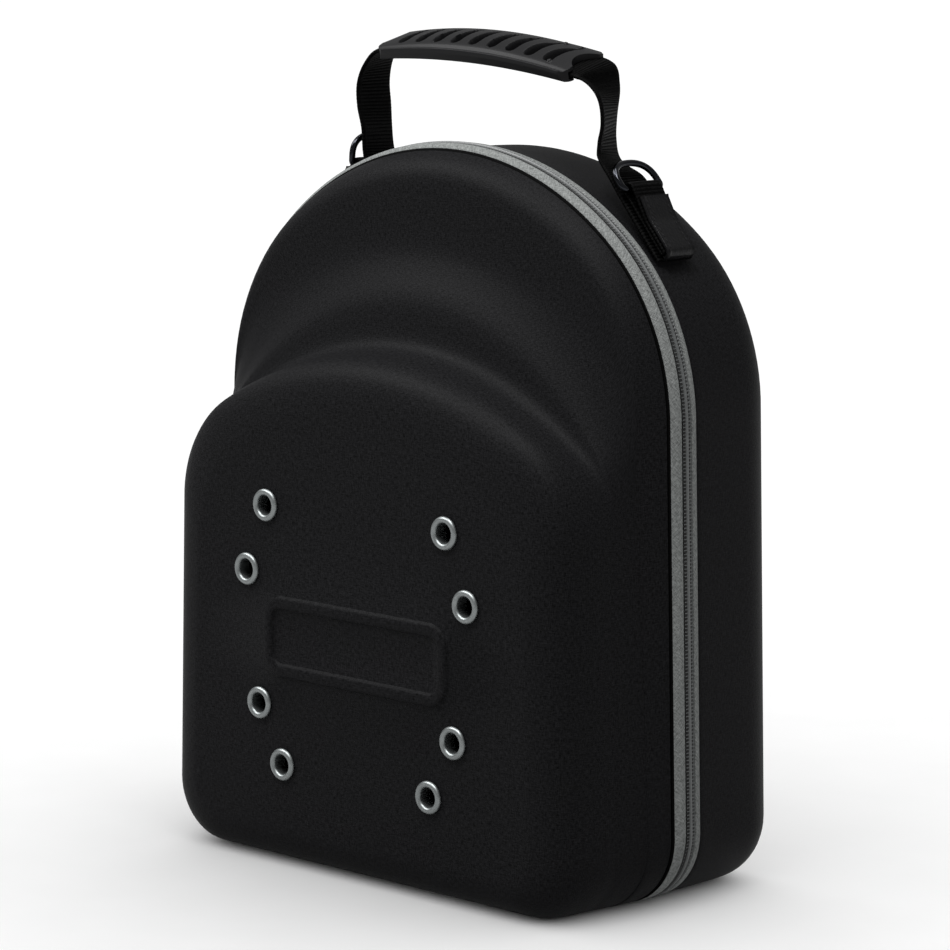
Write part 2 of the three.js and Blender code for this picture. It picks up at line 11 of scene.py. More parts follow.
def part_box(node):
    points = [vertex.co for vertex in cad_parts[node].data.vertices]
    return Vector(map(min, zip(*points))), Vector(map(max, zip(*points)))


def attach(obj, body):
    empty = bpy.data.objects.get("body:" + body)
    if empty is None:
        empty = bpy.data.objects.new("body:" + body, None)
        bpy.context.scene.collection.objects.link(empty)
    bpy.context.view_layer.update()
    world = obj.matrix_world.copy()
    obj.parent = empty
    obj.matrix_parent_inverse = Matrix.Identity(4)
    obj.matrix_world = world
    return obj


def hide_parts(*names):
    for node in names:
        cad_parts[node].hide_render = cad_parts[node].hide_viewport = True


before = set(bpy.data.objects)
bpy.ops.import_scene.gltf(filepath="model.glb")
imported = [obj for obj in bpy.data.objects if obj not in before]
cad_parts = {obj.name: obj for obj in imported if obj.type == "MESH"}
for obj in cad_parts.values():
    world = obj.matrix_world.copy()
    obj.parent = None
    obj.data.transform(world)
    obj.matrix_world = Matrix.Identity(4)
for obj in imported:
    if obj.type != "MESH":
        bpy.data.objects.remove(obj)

bl_info = {
    "name": "Cap carrier",
    "version": (1, 0, 0),
    "blender": (4, 5, 0),
    "location": "View3D > Sidebar > Carrier",
    "description": "Builds a zipped hard-shell cap carrier piece by piece",
    "category": "Add Mesh",
}

# Lengths are in millimetres until a piece is finished, with X across, -Y to the front and Z up.
MM = 0.001
WAVE = math.pi / 10  # a wave texture's period at scale 1

# Case outline: straight base, round corners, sides leaning in, and a crown of two arcs each side.
STEPS = {"base": 16, "corner": 14, "side": 16, "shoulder": 16, "crown": 26}
ZIP = {"half": 121.2, "top": 286.0, "crown": 131.0, "corner": 31.0, "share": 0.72, "lean": 3.8}

# One row per section of a shell, going out from its rim: depth from the zip, then the outline there.
# Share is how far across the crown's arc goes before it bends into the side.
# Lean is how far the side comes in on its way up.
Row = namedtuple("Row", "depth top half base crown corner share lean")
FRONT_ROWS = [
    Row(8.3, 282.6, 117.8, 0.3, 128.0, 29.0, 0.72, 3.8),
    Row(9.4, 282.2, 117.7, 0.1, 128.0, 29.0, 0.72, 4.2),
    Row(11.6, 280.9, 117.2, 0.0, 128.0, 29.0, 0.71, 5.0),
    Row(14.0, 279.0, 116.6, 0.0, 128.2, 28.7, 0.69, 5.9),
    Row(16.0, 276.4, 116.0, 0.0, 129.0, 28.3, 0.68, 6.7),
    Row(17.4, 273.2, 115.5, 0.0, 130.4, 28.0, 0.68, 7.2),
    Row(18.0, 269.4, 115.2, 0.0, 132.4, 28.0, 0.68, 7.2),
    Row(18.2, 263.4, 115.0, 0.0, 135.4, 28.0, 0.69, 7.0),
    Row(18.3, 256.4, 114.8, 0.0, 138.6, 28.0, 0.71, 6.8),
    Row(18.8, 248.6, 114.6, 0.0, 140.0, 27.8, 0.75, 6.6),
    Row(20.0, 243.2, 114.1, 0.0, 136.0, 27.3, 0.80, 6.1),
    Row(21.8, 239.0, 113.6, 0.0, 129.0, 27.0, 0.85, 5.6),
    Row(24.0, 234.8, 113.0, 0.0, 124.0, 26.7, 0.89, 5.1),
    Row(26.4, 230.6, 112.4, 0.0, 122.5, 26.4, 0.92, 4.6),
    Row(28.6, 225.6, 111.9, 0.0, 125.0, 26.2, 0.92, 4.2),
    Row(29.8, 220.4, 111.6, 0.0, 132.0, 26.1, 0.91, 4.0),
    Row(30.6, 215.6, 111.4, 0.0, 138.0, 26.0, 0.90, 3.9),
    Row(31.6, 211.6, 111.2, 0.0, 143.0, 26.0, 0.89, 3.8),
    Row(33.2, 208.8, 110.9, 0.0, 147.0, 25.9, 0.88, 3.6),
    Row(36.0, 206.9, 110.5, 0.0, 151.0, 25.7, 0.86, 3.4),
    Row(40.6, 205.9, 109.7, 0.2, 154.0, 25.3, 0.83, 3.2),
    Row(46.6, 205.0, 108.2, 1.0, 157.0, 24.4, 0.79, 3.2),
    Row(50.4, 203.6, 106.5, 2.3, 159.0, 23.4, 0.77, 3.2),
    Row(53.4, 201.2, 103.9, 4.0, 157.0, 22.1, 0.76, 3.4),
    Row(55.6, 197.8, 100.6, 6.4, 150.0, 20.2, 0.75, 3.6),
    Row(57.2, 193.0, 96.2, 9.8, 137.0, 17.4, 0.74, 3.8),
    Row(58.2, 186.6, 90.8, 14.4, 120.0, 14.0, 0.73, 3.8),
    Row(58.2, 184.0, 88.0, 16.6, 114.0, 13.0, 0.72, 3.8),
]
BACK_ROWS = [
    Row(8.3, 282.6, 117.8, 0.3, 128.0, 29.0, 0.72, 3.8),
    Row(9.4, 283.0, 118.0, 0.0, 128.4, 28.8, 0.72, 3.8),
    Row(11.0, 283.0, 118.0, 0.0, 128.4, 28.5, 0.72, 3.8),
    Row(40.0, 282.6, 117.4, 0.0, 128.4, 27.0, 0.72, 3.8),
    Row(47.0, 281.4, 116.2, 0.5, 127.4, 26.0, 0.72, 3.8),
    Row(53.0, 278.2, 113.4, 2.4, 125.0, 24.5, 0.72, 3.8),
    Row(57.5, 273.2, 109.0, 6.0, 121.0, 22.0, 0.72, 3.8),
    Row(60.2, 266.8, 103.6, 10.5, 115.0, 19.0, 0.72, 3.8),
    Row(61.0, 259.8, 98.0, 15.0, 108.0, 16.0, 0.72, 3.8),
    Row(61.0, 255.0, 94.6, 18.0, 104.0, 14.6, 0.72, 3.8),
]
FRONT_FACE = FRONT_ROWS[-1].depth
CASE_MIDDLE = Vector((0, 0, 140))
# Raised frame on the front, and half of its ridge's section by (inset, height), up to its full height.
FRONT_FRAME = {"z": 93.0, "half_width": 50.0, "half_height": 16.5, "corner": 10.0, "ridge": 6.0}
RIDGE = [(0, 0), (0.25, 0.12), (0.6, 0.5), (1.0, 0.82), (1.7, 1.0), (2.4, 1.03), (3.0, 1.04)]
# Eyelets of the right side by (x, z), with a rolled rim and a barrel by (radius, height) clenched inside.
EYELET_PLACES = [(48.1, 144.5), (58.9, 117.9), (52.4, 64.9), (39.7, 41.8)]
EYELET = {"seat": 4.6, "rim": 5.2, "roll": 1.3, "lift": 0.3}
EYELET_BARREL = [(3.8, -0.6), (3.7, -4.4), (5.7, -4.4), (5.7, -3.3), (4.4, -3.3)]

# Zip sections: distance from the zip's middle, inset from its crest, and lift off the floor under the base.
TAPE = [
    (2.85, 0.95, 0.5), (3.1, 0.55, 0.35), (4.2, 0.5, 0.3), (5.3, 0.8, 0.3), (6.2, 1.3, 0.3),
    (6.9, 1.9, 0.35), (7.3, 2.45, 0.5), (7.4, 5.0, 1.8), (8.6, 5.2, 2.0), (8.6, 5.9, 2.7),
    (6.4, 5.0, 2.7), (5.6, 2.6, 1.6), (3.0, 1.75, 1.5),
]
# The tape's band between these corners is painted near black as the seam's shade.
SHADED_SEAM = (6, 8)  # corners of the tape's section between which its seam lies
COIL_BED = [
    (-2.7, 1.15, 0.6), (-1.2, 0.8, 0.4), (1.2, 0.8, 0.4),
    (2.7, 1.15, 0.6), (2.7, 2.2, 2.2), (-2.7, 2.2, 2.2),
]
COIL_HEADS = [
    (-0.65, 1.0, 1.0), (-0.55, 0.4, 0.4), (-0.25, 0.08, 0.08),
    (0.25, 0.08, 0.08), (0.55, 0.4, 0.4), (0.65, 1.0, 1.0),
]
COIL_START = 60.2
# Coil loops: the inset of their line, their place beside it, and how high they swell out of the bed.
LOOP = {"inset": 0.95, "middle": 1.42, "half_width": 0.92, "height": 0.75, "sunk": 0.35, "parts": 6}

# Slider: two plates by (low, top), a bridge over them by (along, height), and a flat pull.
# The pull's long hole and its eye go by half width, half length and corner, and their place along it.
SLIDER = {"x": -120.48, "z": 72.0, "lean": 1.42, "width": 8.6, "length": 13.0, "height": 3.4, "taper": 0.33}
SLIDER_PLATES = [(0.0, 1.1), (2.1, 3.4)]
BRIDGE = [(-4.5, 3.0), (-3.6, 4.3), (-1.2, 4.9), (2.4, 4.9), (4.4, 3.0)]
PULL = {"top": 3.0, "height": 4.4, "length": 26.0, "width": 7.0, "thickness": 1.6, "corner": 2.6}
PULL_HOLES = [((1.7, 4.0, 1.6), -16.5), ((1.9, 1.5, 0.8), 0.2)]

# Handle: the strap's loop, the grip round its middle, and a folded tab with a ring at each shoulder.
STRAP = {"y": 20.0, "width": 20.0, "thickness": 1.8, "height": 1.3}
RIB_PARTS = 5  # sections drawn for each rib
WOVEN_EDGE = 1.2
GRIP = {"x": -1.0, "z": 316.6, "half": 52.0, "tilt": 3.5, "roll": 15.0, "edge": 13.0, "foot": 11.8}
# Heights of the grip's underside, strap, rim and crest at its ends, and what its bow adds in the middle.
GRIP_LEVELS = [(-1, 3.4), (1.3, 3.9), (2, 4), (5, 5.6)]
# The grip's ends: two rounded horns, a scoop between them, and the strap's tunnel.
HORN = {"back": 1.5, "start": 9.5, "round": 0.3}
SCOOP = {"x": 56.0, "half_width": 9.4, "radius_squared": 90}
TUNNEL = {"half_width": 10.4, "half_height": 1.4}
# Height, place and width of the bead along the grip's rim, and of the groove beside it.
RIM_BEAD = [(0.55, 0.985, 0.03), (-0.35, 0.9, 0.05)]
# Each slot sweeps over from its near end to a point, between sides that bend at (x, y), and leaves a skin of
# rubber over the strap.
SLOT = {
    "count": 9, "pitch": 9.6, "near": -7.0, "far": 6.8, "width": 4.3, "sweep": 6.6, "edge": 0.3, "skin": 0.3,
}
SLOT_BENDS = [(-1.2, 2.0), (SLOT["width"], 1.5)]
# Pins of 1 mm radius by (x, y), each in a shallow ring.
PINS = [(-20.0, -8.4), (9.0, -8.6), (40.0, -9.0), (34.0, 8.0), (41.5, 8.2)]
PIN = {"height": 0.7, "ring_depth": 0.25, "ring": 1.15, "ring_width": 0.2, "reach": 1.5}
# Where each tab starts round the crown, how steep it lies and how far its ring leans, in degrees.
Shoulder = namedtuple("Shoulder", "name side anchor slope ring")
SHOULDERS = [Shoulder("left", -1, 42.0, 40.5, 87.0), Shoulder("right", 1, 45.6, 51.0, 50.0)]
CROWN = {"radius": 128.4, "top": 283.0}
TAB = {
    "bar": 29.5, "bar_height": 5.2, "rise": 11.0, "fold": 1.3, "floor": 2.5, "eye": 2.7, "layer": 1.1,
    "rib": 0.25, "y": 20.4, "width": 17.0,
}
PATCH = {"top": 24.0, "gap": 0.3, "thickness": 1.2, "width": 15.2, "wrap": 205.0, "bead": 0.3, "seam": 2.0}
# A ring's sides are straight for a share of its reach. Its bow then bends at a share of it and at a width.
RING = {"wire": 1.3, "half_width": 11.0, "reach": 11.8, "corner": 2, "straight": 0.3, "bow": (0.82, 6.6)}
# Beside the tabs the strap goes by (along, turn), between them by (x, z, turn).
STRAP_LEFT_TAB = [(-1.0, 0.0), (14.0, 0.0), (28.0, 0.0), (34.0, 1.0)]
STRAP_LEFT_LEG = [
    (-62.4, 280.0, 7.0), (-63.2, 288.0, 8.0), (-64.6, 297.0, 3.0),
    (-65.0, 306.0, 5.0), (-62.0, 314.5, 11.0),
]
STRAP_IN_GRIP = [-1.05, -0.8, -0.5, -0.25, 0.0, 0.25, 0.5, 0.8, 1.05]
STRAP_RIGHT_LEG = [
    (57.6, 309.5, -4.0), (60.2, 303.0, -20.0), (60.4, 295.0, -26.0),
    (59.6, 288.0, -23.0), (60.6, 281.5, -18.0),
]
STRAP_RIGHT_TAB = [(37.0, -2.0), (28.0, 0.0), (14.0, 0.0), (-1.0, 0.0)]

# Soft lamps that face the carrier's middle: place and size in metres, power in watts.
LAMP_AIM = Vector((0, 0, 0.15))
LAMPS = [
    ("key", (-1.05, -0.8, 1.65), (0.9, 0.9), 38.0),
    ("front", (0.25, -0.75, 1.98), (0.7, 0.7), 36.0),
    ("top", (0.2, 0.12, 2.2), (0.8, 0.8), 24.0),
]
FLOOR_LIGHT = 2.2
ROOM_LIGHT = 0.4
CAMERA = {"place": (0.97267, -1.03685, 0.37695), "pitch": 8.882, "turn": 42.8906, "lens": 138.52}


def linear(code):
    """Linear colour of an sRGB hex code."""
    parts = [int(code[k : k + 2], 16) / 255 for k in (0, 2, 4)]
    return [c / 12.92 if c <= 0.04045 else ((c + 0.055) / 1.055) ** 2.4 for c in parts]


def colour_setting(name, code, description):
    """A colour that may be changed, from its hex code."""
    return FloatVectorProperty(
        name=name, description=description, default=linear(code), subtype="COLOR", min=0, max=1
    )


def length_setting(name, size, description):
    """A length that may be changed, from its millimetres."""
    return FloatProperty(
        name=name, description=description, default=size * MM, unit="LENGTH", subtype="DISTANCE", min=0
    )


class CarrierSizes(bpy.types.PropertyGroup):
    """Sizes of the carrier that may be changed."""

    wall: length_setting("Wall", 3.0, "Thickness of the moulded shells")
    relief: length_setting("Frame relief", 1.3, "Height of the raised frame on the front")
    weave: length_setting("Shell weave", 0.7, "Distance between threads of the shell cloth")
    coil: length_setting("Coil pitch", 1.4, "Distance between loops of the zip coil")
    rib: length_setting("Webbing rib", 1.5, "Distance between ribs of the webbing")
    stitch: length_setting("Stitch", 2.5, "Distance between stitches on the ring patches")
    slot: length_setting("Slot depth", 4.5, "Depth of the slots in the grip")


class CarrierColours(bpy.types.PropertyGroup):
    """Colours of the carrier that may be changed."""

    shell: colour_setting("Shell", "111112", "Cloth of the shells")
    tape: colour_setting("Zip tape", "646665", "Cloth tapes beside the zip")
    coil: colour_setting("Zip coil", "464848", "Nylon loops of the zip")
    webbing: colour_setting("Webbing", "030303", "Handle strap and ring tabs")
    rubber: colour_setting("Grip", "101011", "Moulded grip")
    leather: colour_setting("Patch", "0a0a0b", "Patches over the ring tabs")
    ring: colour_setting("Rings", "26272a", "Wire of the D-rings")
    slider: colour_setting("Slider", "46474a", "Zip slider and its pull")
    eyelet: colour_setting("Eyelets", "7f8383", "Vent eyelets")
    floor: colour_setting("Floor", "fdfdfd", "Floor under the carrier")


def sizes():
    """The chosen sizes in millimetres."""
    chosen = bpy.context.scene.carrier_sizes
    return {key: getattr(chosen, key) / MM for key in CarrierSizes.__annotations__}


def colour(name, gain=1.0):
    """A chosen colour, made lighter or darker, as a socket takes it."""
    return [min(1.0, c * gain) for c in getattr(bpy.context.scene.carrier_colours, name)] + [1.0]


def add_node(tree, kind, inputs=None, **settings):
    """Adds a shader node with its settings. Each input is a value or another node's output."""
    made = tree.nodes.new("ShaderNode" + kind)
    for key, value in settings.items():
        setattr(made, key, value)
    for key, value in (inputs or {}).items():
        if isinstance(value, bpy.types.NodeSocket):
            tree.links.new(value, made.inputs[key])
        else:
            made.inputs[key].default_value = value
    return made


def new_material(name, **inputs):
    """A material and its shader node, whose sockets take the given values, with _ for a space."""
    made = bpy.data.materials.new(name)
    made.use_nodes = True
    shader = made.node_tree.nodes["Principled BSDF"]
    for key, value in inputs.items():
        shader.inputs[key.replace("_", " ")].default_value = value
    return made, made.node_tree, shader


def finish_material(tree, shader, tone, dark, light, height, depth):
    """Tone runs the colour from dark to light, and height raises the surface by depth millimetres."""
    mixed = add_node(tree, "Mix", {0: tone, 6: dark, 7: light}, data_type="RGBA")
    tree.links.new(mixed.outputs[2], shader.inputs["Base Color"])
    bump = add_node(tree, "Bump", {"Height": height, "Distance": depth * MM, "Strength": 1.0})
    tree.links.new(bump.outputs[0], shader.inputs["Normal"])


def woven(name, key, pitch, low, high, twill=0.0, depth=0.12, shine=0.028, rib=0.0):
    """Cloth of crossing threads on the piece's own millimetre map: they rise in turn and differ in tone."""
    made, tree, shader = new_material(name, Roughness=0.48, Specular_IOR_Level=shine)
    flat = add_node(tree, "UVMap", uv_map="mm")
    turned = add_node(tree, "Mapping", {"Vector": flat.outputs[0], "Rotation": (0, 0, twill)})
    spaced = {"Vector": turned.outputs[0], "Scale": WAVE / pitch, "Distortion": 0.6}
    threads = []
    for axis in ("X", "Y"):
        threads.append(add_node(tree, "TexWave", spaced, bands_direction=axis).outputs["Fac"])
    crossing = add_node(tree, "Math", dict(enumerate(threads)), operation="MULTIPLY")
    # Yarns: long specks along each of the two thread directions.
    yarns = []
    for scale in ((0.35 / pitch, 1.3 / pitch, 1), (1.3 / pitch, 0.35 / pitch, 1)):
        stretched = add_node(tree, "Mapping", {"Vector": turned.outputs[0], "Scale": scale})
        specks = add_node(tree, "TexNoise", {"Vector": stretched.outputs[0], "Scale": 1.0, "Detail": 3.0})
        yarns.append(specks.outputs["Fac"])
    both = add_node(tree, "Math", dict(enumerate(yarns)), operation="ADD")
    tone = add_node(tree, "MapRange", {"Value": both.outputs[0], "From Min": 0.72, "From Max": 1.28})
    raised = {0: crossing.outputs[0], 1: 0.2, 2: tone.outputs[0]}
    height = add_node(tree, "Math", raised, operation="MULTIPLY_ADD")
    if rib:
        # Painted highlight and shade: the tops of the ribs are made lighter and the gaps between them
        # darker.
        along = add_node(tree, "SeparateXYZ", {0: flat.outputs[0]})
        swing = add_node(tree, "Math", {0: along.outputs["Y"], 1: math.pi / rib}, operation="MULTIPLY")
        crest = add_node(tree, "Math", {0: swing.outputs[0]}, operation="SINE")
        lit = add_node(tree, "Math", {0: crest.outputs[0], 1: 2.0}, operation="POWER")
        tone = add_node(tree, "Math", {0: tone.outputs[0], 1: lit.outputs[0]}, operation="MULTIPLY")
    dark, light = colour(key, low), colour(key, high)
    finish_material(tree, shader, tone.outputs[0], dark, light, height.outputs[0], depth)
    return made


def solid(name, key, low, high, grain, depth, **inputs):
    """Metal, rubber, nylon or leather: an even body whose tone and surface vary over grain millimetres."""
    made, tree, shader = new_material(name, **inputs)
    place = add_node(tree, "TexCoord")
    spread = {"Vector": place.outputs["Object"], "Scale": 1 / (grain * MM), "Detail": 4.0}
    cloud = add_node(tree, "TexNoise", spread)
    tone = add_node(tree, "MapRange", {"Value": cloud.outputs["Fac"], "From Min": 0.3, "From Max": 0.7})
    dark, light = colour(key, low), colour(key, high)
    finish_material(tree, shader, tone.outputs[0], dark, light, tone.outputs[0], depth)
    return made


def wrap(bm, place, across, along, lay):
    """Adds a grid of faces. place(i, j) sets each corner, and lay(i, j) its millimetres on the cloth."""
    layer = bm.loops.layers.uv.get("mm") or bm.loops.layers.uv.new("mm")
    made = bmesh.ops.create_grid(bm, x_segments=across, y_segments=along, size=0.5)["verts"]
    for vert in made:
        i, j = round((vert.co.x + 0.5) * across), round((vert.co.y + 0.5) * along)
        for loop in vert.link_loops:
            loop[layer].uv = lay(i, j)
        vert.co = place(i, j)
    return made


def measured(points):
    """Distance of each point along the line through them."""
    reach = [0.0]
    for a, b in zip(points, points[1:]):
        reach.append(reach[-1] + math.dist(a, b))
    return reach


def loft(bm, lines, closed, lay=None):
    """Skins lines of equal length, one after another. A closed line goes back to its first point."""
    count = len(lines[0])
    middle = lines[len(lines) // 2]
    around, down = measured([*middle, middle[0]]), measured([points[count // 2] for points in lines])
    lay = lay or (lambda i, j: (around[i], down[j]))
    made = wrap(bm, lambda i, j: lines[j][i % count], count if closed else count - 1, len(lines) - 1, lay)
    bmesh.ops.remove_doubles(bm, verts=made, dist=1e-4)


def close_ends(bm):
    """Caps every open loop and turns the faces outwards."""
    bmesh.ops.holes_fill(bm, edges=[e for e in bm.edges if e.is_boundary], sides=0)
    bmesh.ops.recalc_face_normals(bm, faces=bm.faces)


def finish_piece(bm, name, nodes, materials, body="case", sharp=40.0):
    """Turns a mesh in millimetres into a piece that stands for its nodes and rides its body."""
    bmesh.ops.scale(bm, vec=(MM, MM, MM), verts=bm.verts)
    for face in bm.faces:
        face.smooth = True
    mesh = bpy.data.meshes.new(name)
    bm.to_mesh(mesh)
    bm.free()
    mesh.set_sharp_from_angle(angle=math.radians(sharp))
    for material in materials:
        mesh.materials.append(material)
    piece = bpy.data.objects.new(name, mesh)
    bpy.context.scene.collection.objects.link(piece)
    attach(piece, body)
    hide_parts(*nodes)
    return piece


def smooth(table, step, columns):
    """The table's rows on a smooth line about every step millimetres, measured over its first columns."""
    reach = measured([row[:columns] for row in table])
    last = len(table) - 1
    slopes = []
    for k in range(last + 1):
        a, b = max(k - 1, 0), min(k + 1, last)
        slopes.append([(q - p) / (reach[b] - reach[a]) for p, q in zip(table[a], table[b])])
    made = [tuple(table[0])]
    for k in range(last):
        gap = reach[k + 1] - reach[k]
        count = max(1, round(gap / step))
        for n in range(1, count + 1):
            t = n / count
            from_a, from_b = (1 + 2 * t) * (1 - t) ** 2, t * t * (3 - 2 * t)
            turn_a, turn_b = gap * t * (1 - t) ** 2, gap * t * t * (t - 1)
            ends = zip(table[k], table[k + 1], slopes[k], slopes[k + 1])
            made.append(tuple(from_a * p + from_b * q + turn_a * m + turn_b * w for p, q, m, w in ends))
    return made


def arc(centre, radius, start, stop, count):
    """Points round a circle from start to just before stop, in degrees."""
    angles = [math.radians(start + (stop - start) * k / count) for k in range(count)]
    return [(centre[0] + radius * math.cos(a), centre[1] + radius * math.sin(a)) for a in angles]


def line(a, b, count):
    """Points from a to just before b."""
    return [(a[0] + (b[0] - a[0]) * k / count, a[1] + (b[1] - a[1]) * k / count) for k in range(count)]


def outline(top, half, base, crown, corner, share, lean):
    """The case's outline in a section as (x, z), from the middle of the base round to the right."""
    upper = half - lean
    meet = upper * share
    end = math.acos(meet / crown)
    shoulder = (upper - meet) / (1 - math.cos(end))
    rise = top - crown + (crown - shoulder) * math.sin(end)
    right = line((0, base), (half - corner, base), STEPS["base"])
    right += arc((half - corner, base + corner), corner, -90, 0, STEPS["corner"])
    right += line((half, base + corner), (upper, rise), STEPS["side"])
    right += arc((upper - shoulder, rise), shoulder, 0, math.degrees(end), STEPS["shoulder"])
    right += arc((0, top - crown), crown, math.degrees(end), 90, STEPS["crown"])
    right.append((0, top))
    return right + [(-x, z) for x, z in reversed(right[1:-1])]


def zip_line(y, inset, lift):
    """A line round the case beside the zip."""
    top, half, crown, corner = (ZIP[key] - inset for key in ("top", "half", "crown", "corner"))
    ring = outline(top, half, lift, crown, corner, ZIP["share"], ZIP["lean"])
    return [Vector((x, y, z)) for x, z in ring]


def rounded(half_width, half_height, corner):
    """A rounded rectangle as (x, y)."""
    w, h = half_width - corner, half_height - corner
    points = []
    for turn, (x, y) in enumerate([(w, h), (-w, h), (-w, -h), (w, -h)]):
        points += arc((x, y), corner, turn * 90, turn * 90 + 90, 10)
        end = math.radians(turn * 90 + 90)
        points.append((x + corner * math.cos(end), y + corner * math.sin(end)))
    return points


def shell(bm, rows, facing):
    """Skin of one shell from its rim to the edge of its flat face, with the cloth drawn straight back."""
    lines = []
    for row in smooth(rows, 2.0, 2):
        lines.append([Vector((x, facing * row[0], z)) for x, z in outline(*row[1:])])

    def lay(i, j):
        points = lines[j]
        here = points[i % len(points)]
        ahead = points[(i + 1) % len(points)] - points[i % len(points) - 1]
        back = (rows[-1].depth - abs(here.y)) / ahead.length
        return here.x + ahead.z * back, here.z - ahead.x * back

    loft(bm, lines, True, lay)


def face_edges(bm, y):
    """Open edges that lie on the plane of a flat face."""
    return [e for e in bm.edges if len(e.link_faces) < 2 and all(abs(v.co.y - y) < 0.01 for v in e.verts)]


def fill_face(bm, edges):
    """Fills a flat face between its outer edge and the holes in it, with the cloth laid flat."""
    layer = bm.loops.layers.uv.get("mm")
    made = bmesh.ops.triangle_fill(bm, use_beauty=True, edges=edges)["geom"]
    for face in (f for f in made if isinstance(f, bmesh.types.BMFace)):
        for loop in face.loops:
            loop[layer].uv = (loop.vert.co.x, loop.vert.co.z)


def soften(bm, edges, offset, segments):
    """Rounds edges off, and gives the faces that this makes."""
    return bmesh.ops.bevel(
        bm, geom=edges, offset=offset, segments=segments, profile=0.5, affect="EDGES", material=-1
    )["faces"]


def thicken(bm, wall):
    """Gives a skin its wall on the inside."""
    bmesh.ops.recalc_face_normals(bm, faces=bm.faces)
    face = max(bm.faces, key=lambda f: abs(f.calc_center_median().y))
    if face.normal.dot(face.calc_center_median() - CASE_MIDDLE) < 0:
        bmesh.ops.reverse_faces(bm, faces=bm.faces)
    bmesh.ops.solidify(bm, geom=bm.faces[:], thickness=wall)
    bmesh.ops.recalc_face_normals(bm, faces=bm.faces)


def eyelet_places():
    """Places of the eyelets as (x, z), the left side's first."""
    return [(side * x, z) for side in (-1, 1) for x, z in EYELET_PLACES]


def shell_cloth():
    """Cloth of both shells."""
    # Pressed polyester: dull charcoal with a fine heathered grain.
    # The weave is drawn about twice as coarse as real, so that it shows.
    return woven("pressed polyester cloth", "shell", sizes()["weave"], 0.3, 1.7, depth=0.05)


class CARRIER_OT_front_shell(bpy.types.Operator):
    """Moulded front shell with its tiers, eyelet holes and raised frame"""

    bl_idname = "carrier.front_shell"
    bl_label = "Front shell"

    def execute(self, context):
        bm = bmesh.new()
        shell(bm, FRONT_ROWS, -1)
        relief, full = sizes()["relief"], RIDGE[-1][1]
        profile = RIDGE + [(FRONT_FRAME["ridge"] - inset, rise) for inset, rise in reversed(RIDGE[:-1])]
        rings = []
        for inset, rise in profile:
            ring = rounded(*(FRONT_FRAME[key] - inset for key in ("half_width", "half_height", "corner")))
            y = -FRONT_FACE - rise * relief / full
            rings.append([Vector((x, y, FRONT_FRAME["z"] + z)) for x, z in ring])
        loft(bm, rings, True)
        inner = [e for e in face_edges(bm, -FRONT_FACE) if self.inside_frame(e)]
        outer = [e for e in face_edges(bm, -FRONT_FACE) if not self.inside_frame(e)]
        upright = Matrix.Rotation(math.pi / 2, 4, "X")
        for x, z in eyelet_places():
            place = Matrix.Translation((x, -FRONT_FACE, z)) @ upright
            hole = bmesh.ops.create_circle(bm, segments=32, radius=EYELET["seat"], matrix=place)["verts"]
            outer += {e for v in hole for e in v.link_edges}
        fill_face(bm, outer)
        fill_face(bm, inner)
        thicken(bm, sizes()["wall"])
        finish_piece(bm, "shell_front", ["front_shell"], [shell_cloth()])
        return {"FINISHED"}

    def inside_frame(self, edge):
        """Whether an edge belongs to the field inside the raised frame."""
        middle = (edge.verts[0].co + edge.verts[1].co) / 2
        limit = FRONT_FRAME["ridge"] / 2
        wide, high = FRONT_FRAME["half_width"] - limit, FRONT_FRAME["half_height"] - limit
        return abs(middle.x) < wide and abs(middle.z - FRONT_FRAME["z"]) < high


class CARRIER_OT_back_shell(bpy.types.Operator):
    """Moulded back shell with its domed face"""

    bl_idname = "carrier.back_shell"
    bl_label = "Back shell"

    def execute(self, context):
        bm = bmesh.new()
        shell(bm, BACK_ROWS, 1)
        fill_face(bm, face_edges(bm, BACK_ROWS[-1].depth))
        thicken(bm, sizes()["wall"])
        finish_piece(bm, "shell_back", ["back_shell"], [shell_cloth()])
        return {"FINISHED"}


def closed_band(bm, corners, side=1):
    """A band of the given section all round the zip."""
    lines = [zip_line(side * y, inset, lift) for y, inset, lift in corners]
    around, wide = measured([*lines[0], lines[0][0]]), measured([*corners, corners[0]])
    count, points = len(lines), len(lines[0])

    def place(i, j):
        return lines[i % count][j % points]

    made = wrap(bm, place, count, points, lambda i, j: (wide[i], around[j]))
    bmesh.ops.remove_doubles(bm, verts=made, dist=1e-4)
    bmesh.ops.recalc_face_normals(bm, faces=bm.faces)


class CARRIER_OT_zip_tapes(bpy.types.Operator):
    """Woven tape on each side of the zip, with painted shade along the seam that holds it to the shell"""

    bl_idname = "carrier.zip_tapes"
    bl_label = "Zip tapes"

    def execute(self, context):
        # Twilled polyester tape: mid grey with a slanting grain.
        cloth = woven("twilled zip tape", "tape", 0.7, 0.6, 1.45, twill=0.7, depth=0.15)
        # Painted shade: a near-black band where the tape is sewn to the shell, for the shadow in the seam.
        thread = solid(
            "black seam thread", "webbing", 0.7, 1.6, 0.8, 0.05, Roughness=0.8, Specular_IOR_Level=0.05
        )
        wide = measured(TAPE)
        shade_start, shade_end = (wide[corner] for corner in SHADED_SEAM)
        for name, side in (("front", -1), ("back", 1)):
            bm = bmesh.new()
            closed_band(bm, TAPE, side)
            layer = bm.loops.layers.uv["mm"]
            # Faces between the seam's corners take the painted shade.
            for face in bm.faces:
                middle = sum(loop[layer].uv.x for loop in face.loops) / len(face.loops)
                face.material_index = int(shade_start < middle < shade_end)
            finish_piece(bm, "tape_" + name, ["zip_tape_" + name], [cloth, thread])
        return {"FINISHED"}


